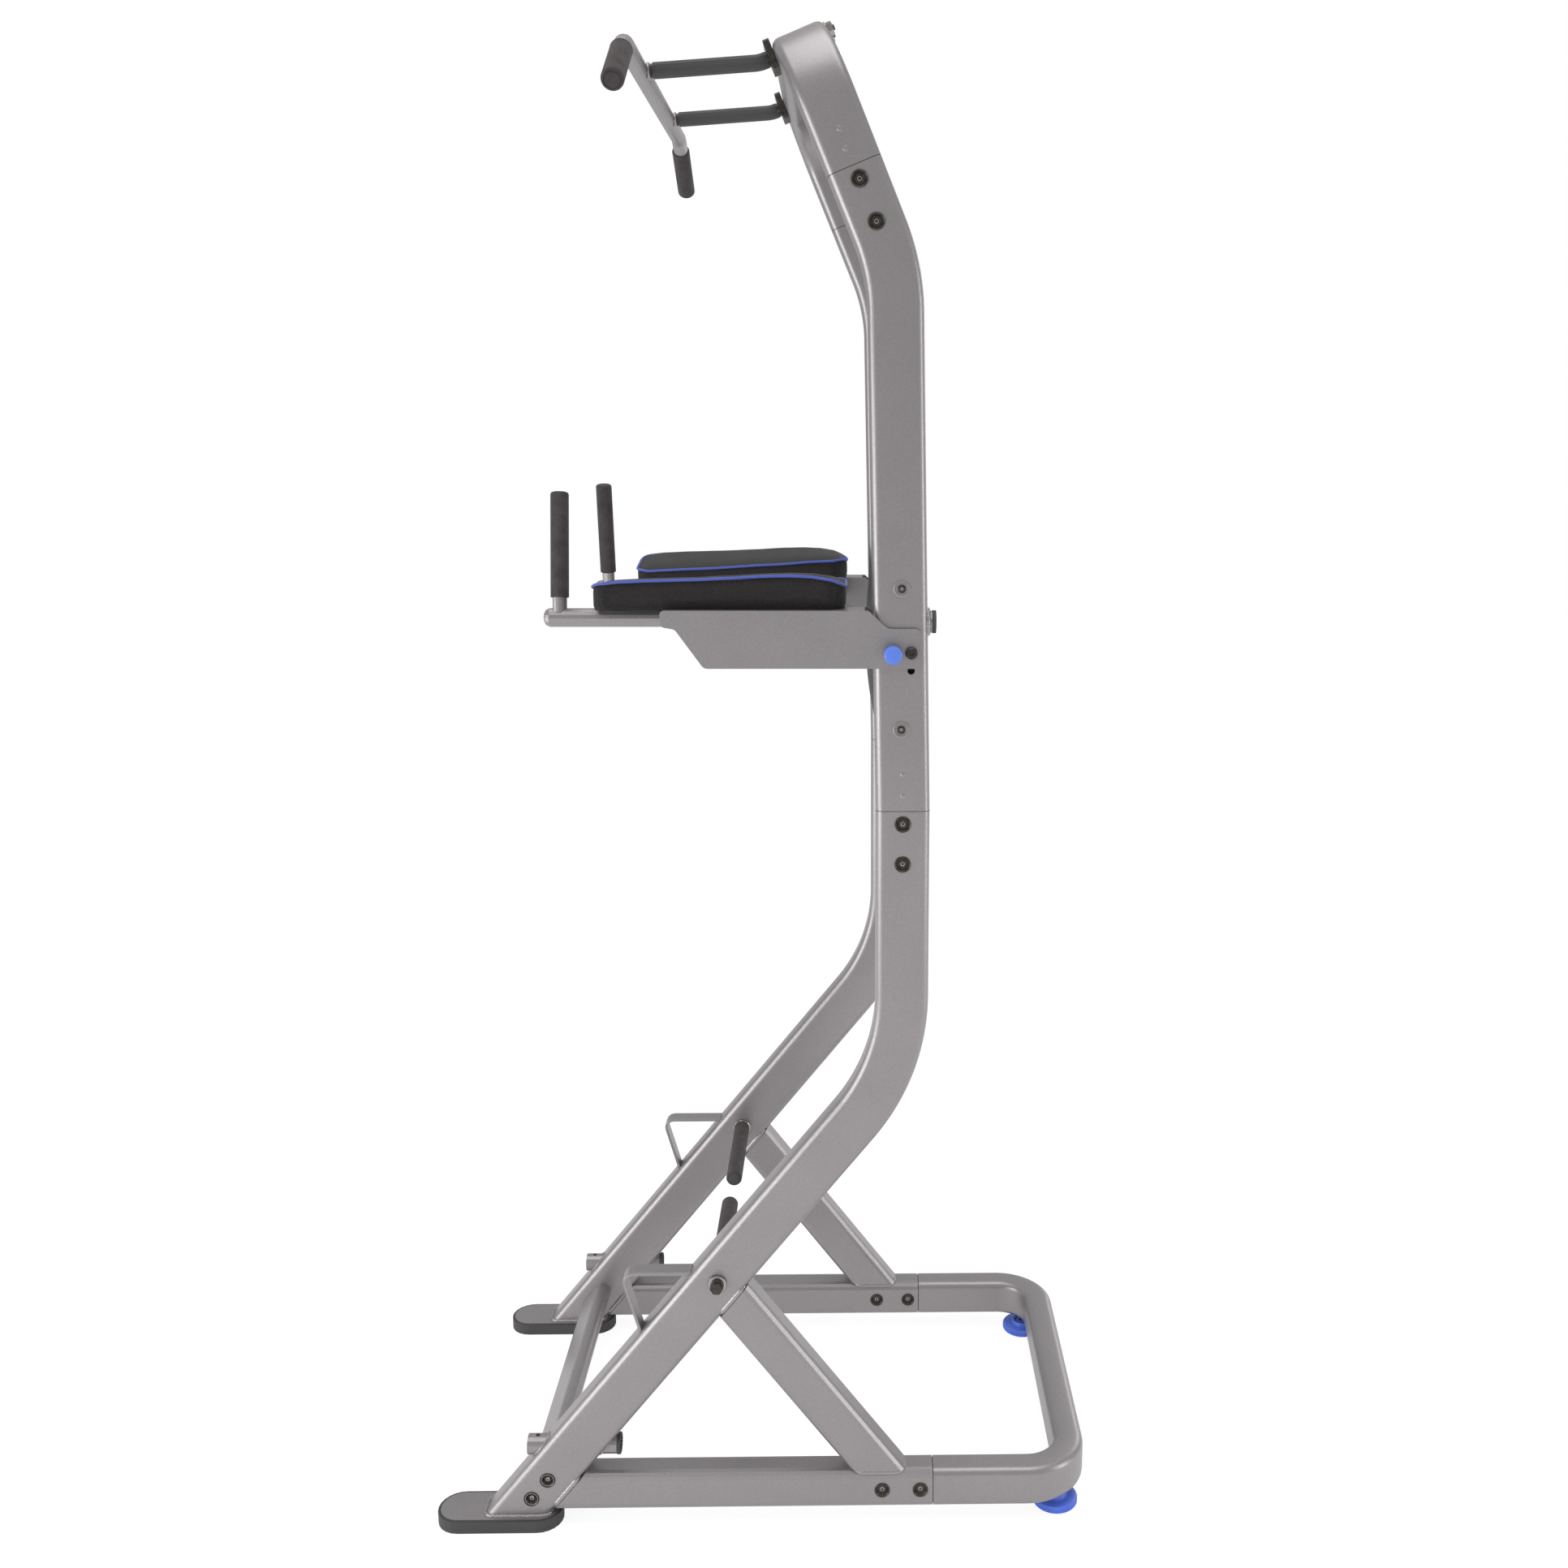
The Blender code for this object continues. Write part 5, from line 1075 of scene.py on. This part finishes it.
# %% Pull pins
KNOB_LENGTH, HOLLOW_RADIUS, HOLLOW_DEPTH = 0.0222, 0.0112, 0.0112
KNOB_PROFILE = ((0.0, KNOB_LENGTH), (0.0098, KNOB_LENGTH), (0.0113, 0.0218), (0.0125, 0.0208),
                (0.0130, 0.0192), (0.0130, 0.0016), (0.0126, 0.0005), (0.0118, 0.0),
                (HOLLOW_RADIUS, 0.0), (HOLLOW_RADIUS, HOLLOW_DEPTH), (0.0, HOLLOW_DEPTH))
PIN_PROFILE = ((0.0, -0.0176), (0.0040, -0.0176), (0.0048, -0.0168), (0.0049, -0.0160),
               (0.0049, HOLLOW_DEPTH - 0.0002), (0.0, HOLLOW_DEPTH - 0.0002))
for hand, side in SIDES:
    low, high, middle = corners(f"pull_pin_{hand}")
    body = f"pull_pin_{hand}"
    knob_root = (high.x if side > 0 else low.x) - side * KNOB_LENGTH
    spots = [(Vector((knob_root, middle.y, middle.z)), X_AXIS * side)]
    knob = turned(f"pull_knob_{hand}", KNOB_PROFILE, spots, knob_blue, body, steps=48)
    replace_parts(knob, body)
    turned(f"pull_pin_steel_{hand}", PIN_PROFILE, spots, bright_screw, body, steps=32)

# %% [markdown]
# ## Grips of the pull-up bar
#
# These face the camera, and show a closed end with a pressed ring, and a thin dark ring where
# the foam begins. They are turned again with more steps than the CAD grips have.

# %% Pull-up grips
BAR_Y, BAR_Z = -0.378, 2.232
BEND_X, DROOP, DROOP_LENGTH, GRIP_LENGTH = 0.345, radians(32), 0.132, 0.105
GRIP_START = ((0.0131, 0.0), (0.0146, 0.0), (0.0151, 0.0006), (0.0152, 0.0015))
GRIP_END = ((0.0152, 0.0046), (0.0148, 0.0022), (0.0138, 0.0007), (0.0126, 0), (0.0116, 0),
            (0.0112, 0.0009), (0.0106, 0.0009), (0.0102, 0.0001), (0.0, 0), (0.0, 0.0030),
            (0.0131, 0.0035))
GRIP_PROFILE = [*GRIP_START, *((radius, GRIP_LENGTH - back) for radius, back in GRIP_END),
                GRIP_START[0]]
GRIP_RING = ((0.0129, -0.0024), (0.0150, -0.0024), (0.0154, -0.0018), (0.0154, -0.0003),
             (0.0129, -0.0001), (0.0129, -0.0024))
for hand, side in SIDES:
    droop = Vector((side * cos(DROOP), 0, -sin(DROOP)))
    start = (at(side * BEND_X, BAR_Y, BAR_Z)
             + droop * (DROOP_LENGTH + GAP + 0.0035 - GRIP_LENGTH))
    grip = turned(f"pull_grip_{hand}", GRIP_PROFILE, [(start, droop)], foam, steps=48)
    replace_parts(grip, f"pull_up_grip_{hand}")
    turned(f"pull_grip_ring_{hand}", GRIP_RING, [(start, droop)], rubber, steps=48)

# %% [markdown]
# ## Weld beads
#
# Where a tube ends on another one, a rippled bead of weld runs round its foot. The path is
# the tube's own outline, slid along the tube to the other tube's face, so that every bead
# follows its joint. At the leg's round corners the beads are thick, sunk and nearly smooth,
# because they fill a groove there. Elsewhere they swell and shrink, as stops and starts make
# a weld do.


# %% Weld helpers
def bead(name, path, radius, closed=True, swell=1):
    """A bead along a path, its ripples 3 mm apart. An open one is a line between two points."""
    fine = with_long_sides_split(path, 0.0022)
    if not closed:
        fine = fine[:len(fine) // 2 + 1]
    ripple = [1 + swell * (0.13 * sin(i * 1.9) + 0.10 * sin(i * 0.61 + 1))
              for i in range(len(fine))]
    swept(name, fine, radius, weld_paint, closed=closed, swell=ripple)


def landed(points, direction, face, normal):
    """Slides points along a direction until they meet a plane."""
    return [p + direction * ((face - p).dot(normal) / direction.dot(normal)) for p in points]


def tube_outline(depth, middle, up, grow):
    """Points round a tube's outline in space, a little outside or inside its skin."""
    return [middle + X_AXIS * p.x + up * p.y
            for p in outline_of(TUBE_WIDTH + 2 * grow, depth + 2 * grow, TUBE_CORNER, 5)]


def ring_outline(radius, middle, up):
    """Points round a circle in space."""
    return [middle + X_AXIS * radius * cos(i * pi / 14) + up * radius * sin(i * pi / 14)
            for i in range(28)]


# %% Weld beads of the frame
STRUT_SLOPE, STRUT_DEPTH, STRUT_FOOT_Y = radians(52.5), 0.070, -0.035
ON_SKIN, IN_GROOVE, SMOOTH = 0.0006, -0.0045, 0.2
LOOP_ENDS = (("top", 0.430), ("low", 0.333))
NEUTRAL_WELD_BACK = 0.0122
strut_rise = Vector((0, -cos(STRUT_SLOPE), sin(STRUT_SLOPE)))
rail_top = RAIL_Z + RAIL_DEPTH / 2
plate_top = corners("foot_plate_right")[1]
for hand, side in SIDES:
    x = side * HALF_SPACING
    lower_leg = Vector((x, leg_at(0.2).y, 0.2))
    behind_leg, before_leg = (lower_leg + leg_normal * (face * TUBE_DEPTH / 2) for face in (1, -1))
    groove = behind_leg - leg_normal * 0.0035
    strut = tube_outline(STRUT_DEPTH, at(x, STRUT_FOOT_Y, rail_top), square_to(strut_rise),
                         IN_GROOVE)
    rail = tube_outline(RAIL_DEPTH, at(x, 0, RAIL_Z), Z_AXIS, IN_GROOVE)
    leg = tube_outline(TUBE_DEPTH, lower_leg, leg_normal, ON_SKIN)
    socket = ring_outline(0.0164, at(x, 0, LOW_SOCKET_Z), Z_AXIS)
    for name, ring, way, face, normal, radius, swell in (
            ("strut_low", strut, strut_rise, Z_AXIS * (rail_top - 0.0030), Z_AXIS, 0.0052, SMOOTH),
            ("strut_top", strut, strut_rise, groove, leg_normal, 0.0054, SMOOTH),
            ("rail", rail, Y_AXIS, groove, leg_normal, 0.0054, SMOOTH),
            ("foot", leg, down_the_leg, plate_top, Z_AXIS, 0.0030, 1),
            ("socket_front", socket, Y_AXIS, before_leg, leg_normal, 0.0020, 1),
            ("socket_rear", socket, Y_AXIS, behind_leg, leg_normal, 0.0020, 1)):
        bead(f"weld_{name}_{hand}", landed(ring, way, face, normal), radius, swell=swell)
    rear_face = TUBE_DEPTH / 2 - (REAR_SOCKET_Z - MID_JOINT_Z) * tan(radians(UPRIGHT_LEAN))
    bead(f"weld_rear_socket_{hand}",
         ring_outline(0.0166, at(x, rear_face, REAR_SOCKET_Z), Z_AXIS), 0.0042)
    for word, height in LOOP_ENDS:
        spot = landed([at(x, 0, height)], Y_AXIS, before_leg, leg_normal)[0] - leg_normal * 0.001
        bead(f"weld_loop_{word}_{hand}", [spot + X_AXIS * 0.014, spot - X_AXIS * 0.014],
             0.0024, closed=False)
    bar_end = at(side * NEUTRAL_X, BAR_Y, BAR_Z)
    knee = (crown_bend + crown_rise * FLANGE_RISE - crown_normal * (TUBE_DEPTH / 2 + GAP + 0.023)
            + X_AXIS * (side * NEUTRAL_X - HALF_SPACING))
    ahead = (bar_end - knee).normalized()
    bead(f"weld_neutral_{hand}",
         ring_outline(0.0104, bar_end - ahead * NEUTRAL_WELD_BACK, ahead.cross(X_AXIS)), 0.0022)
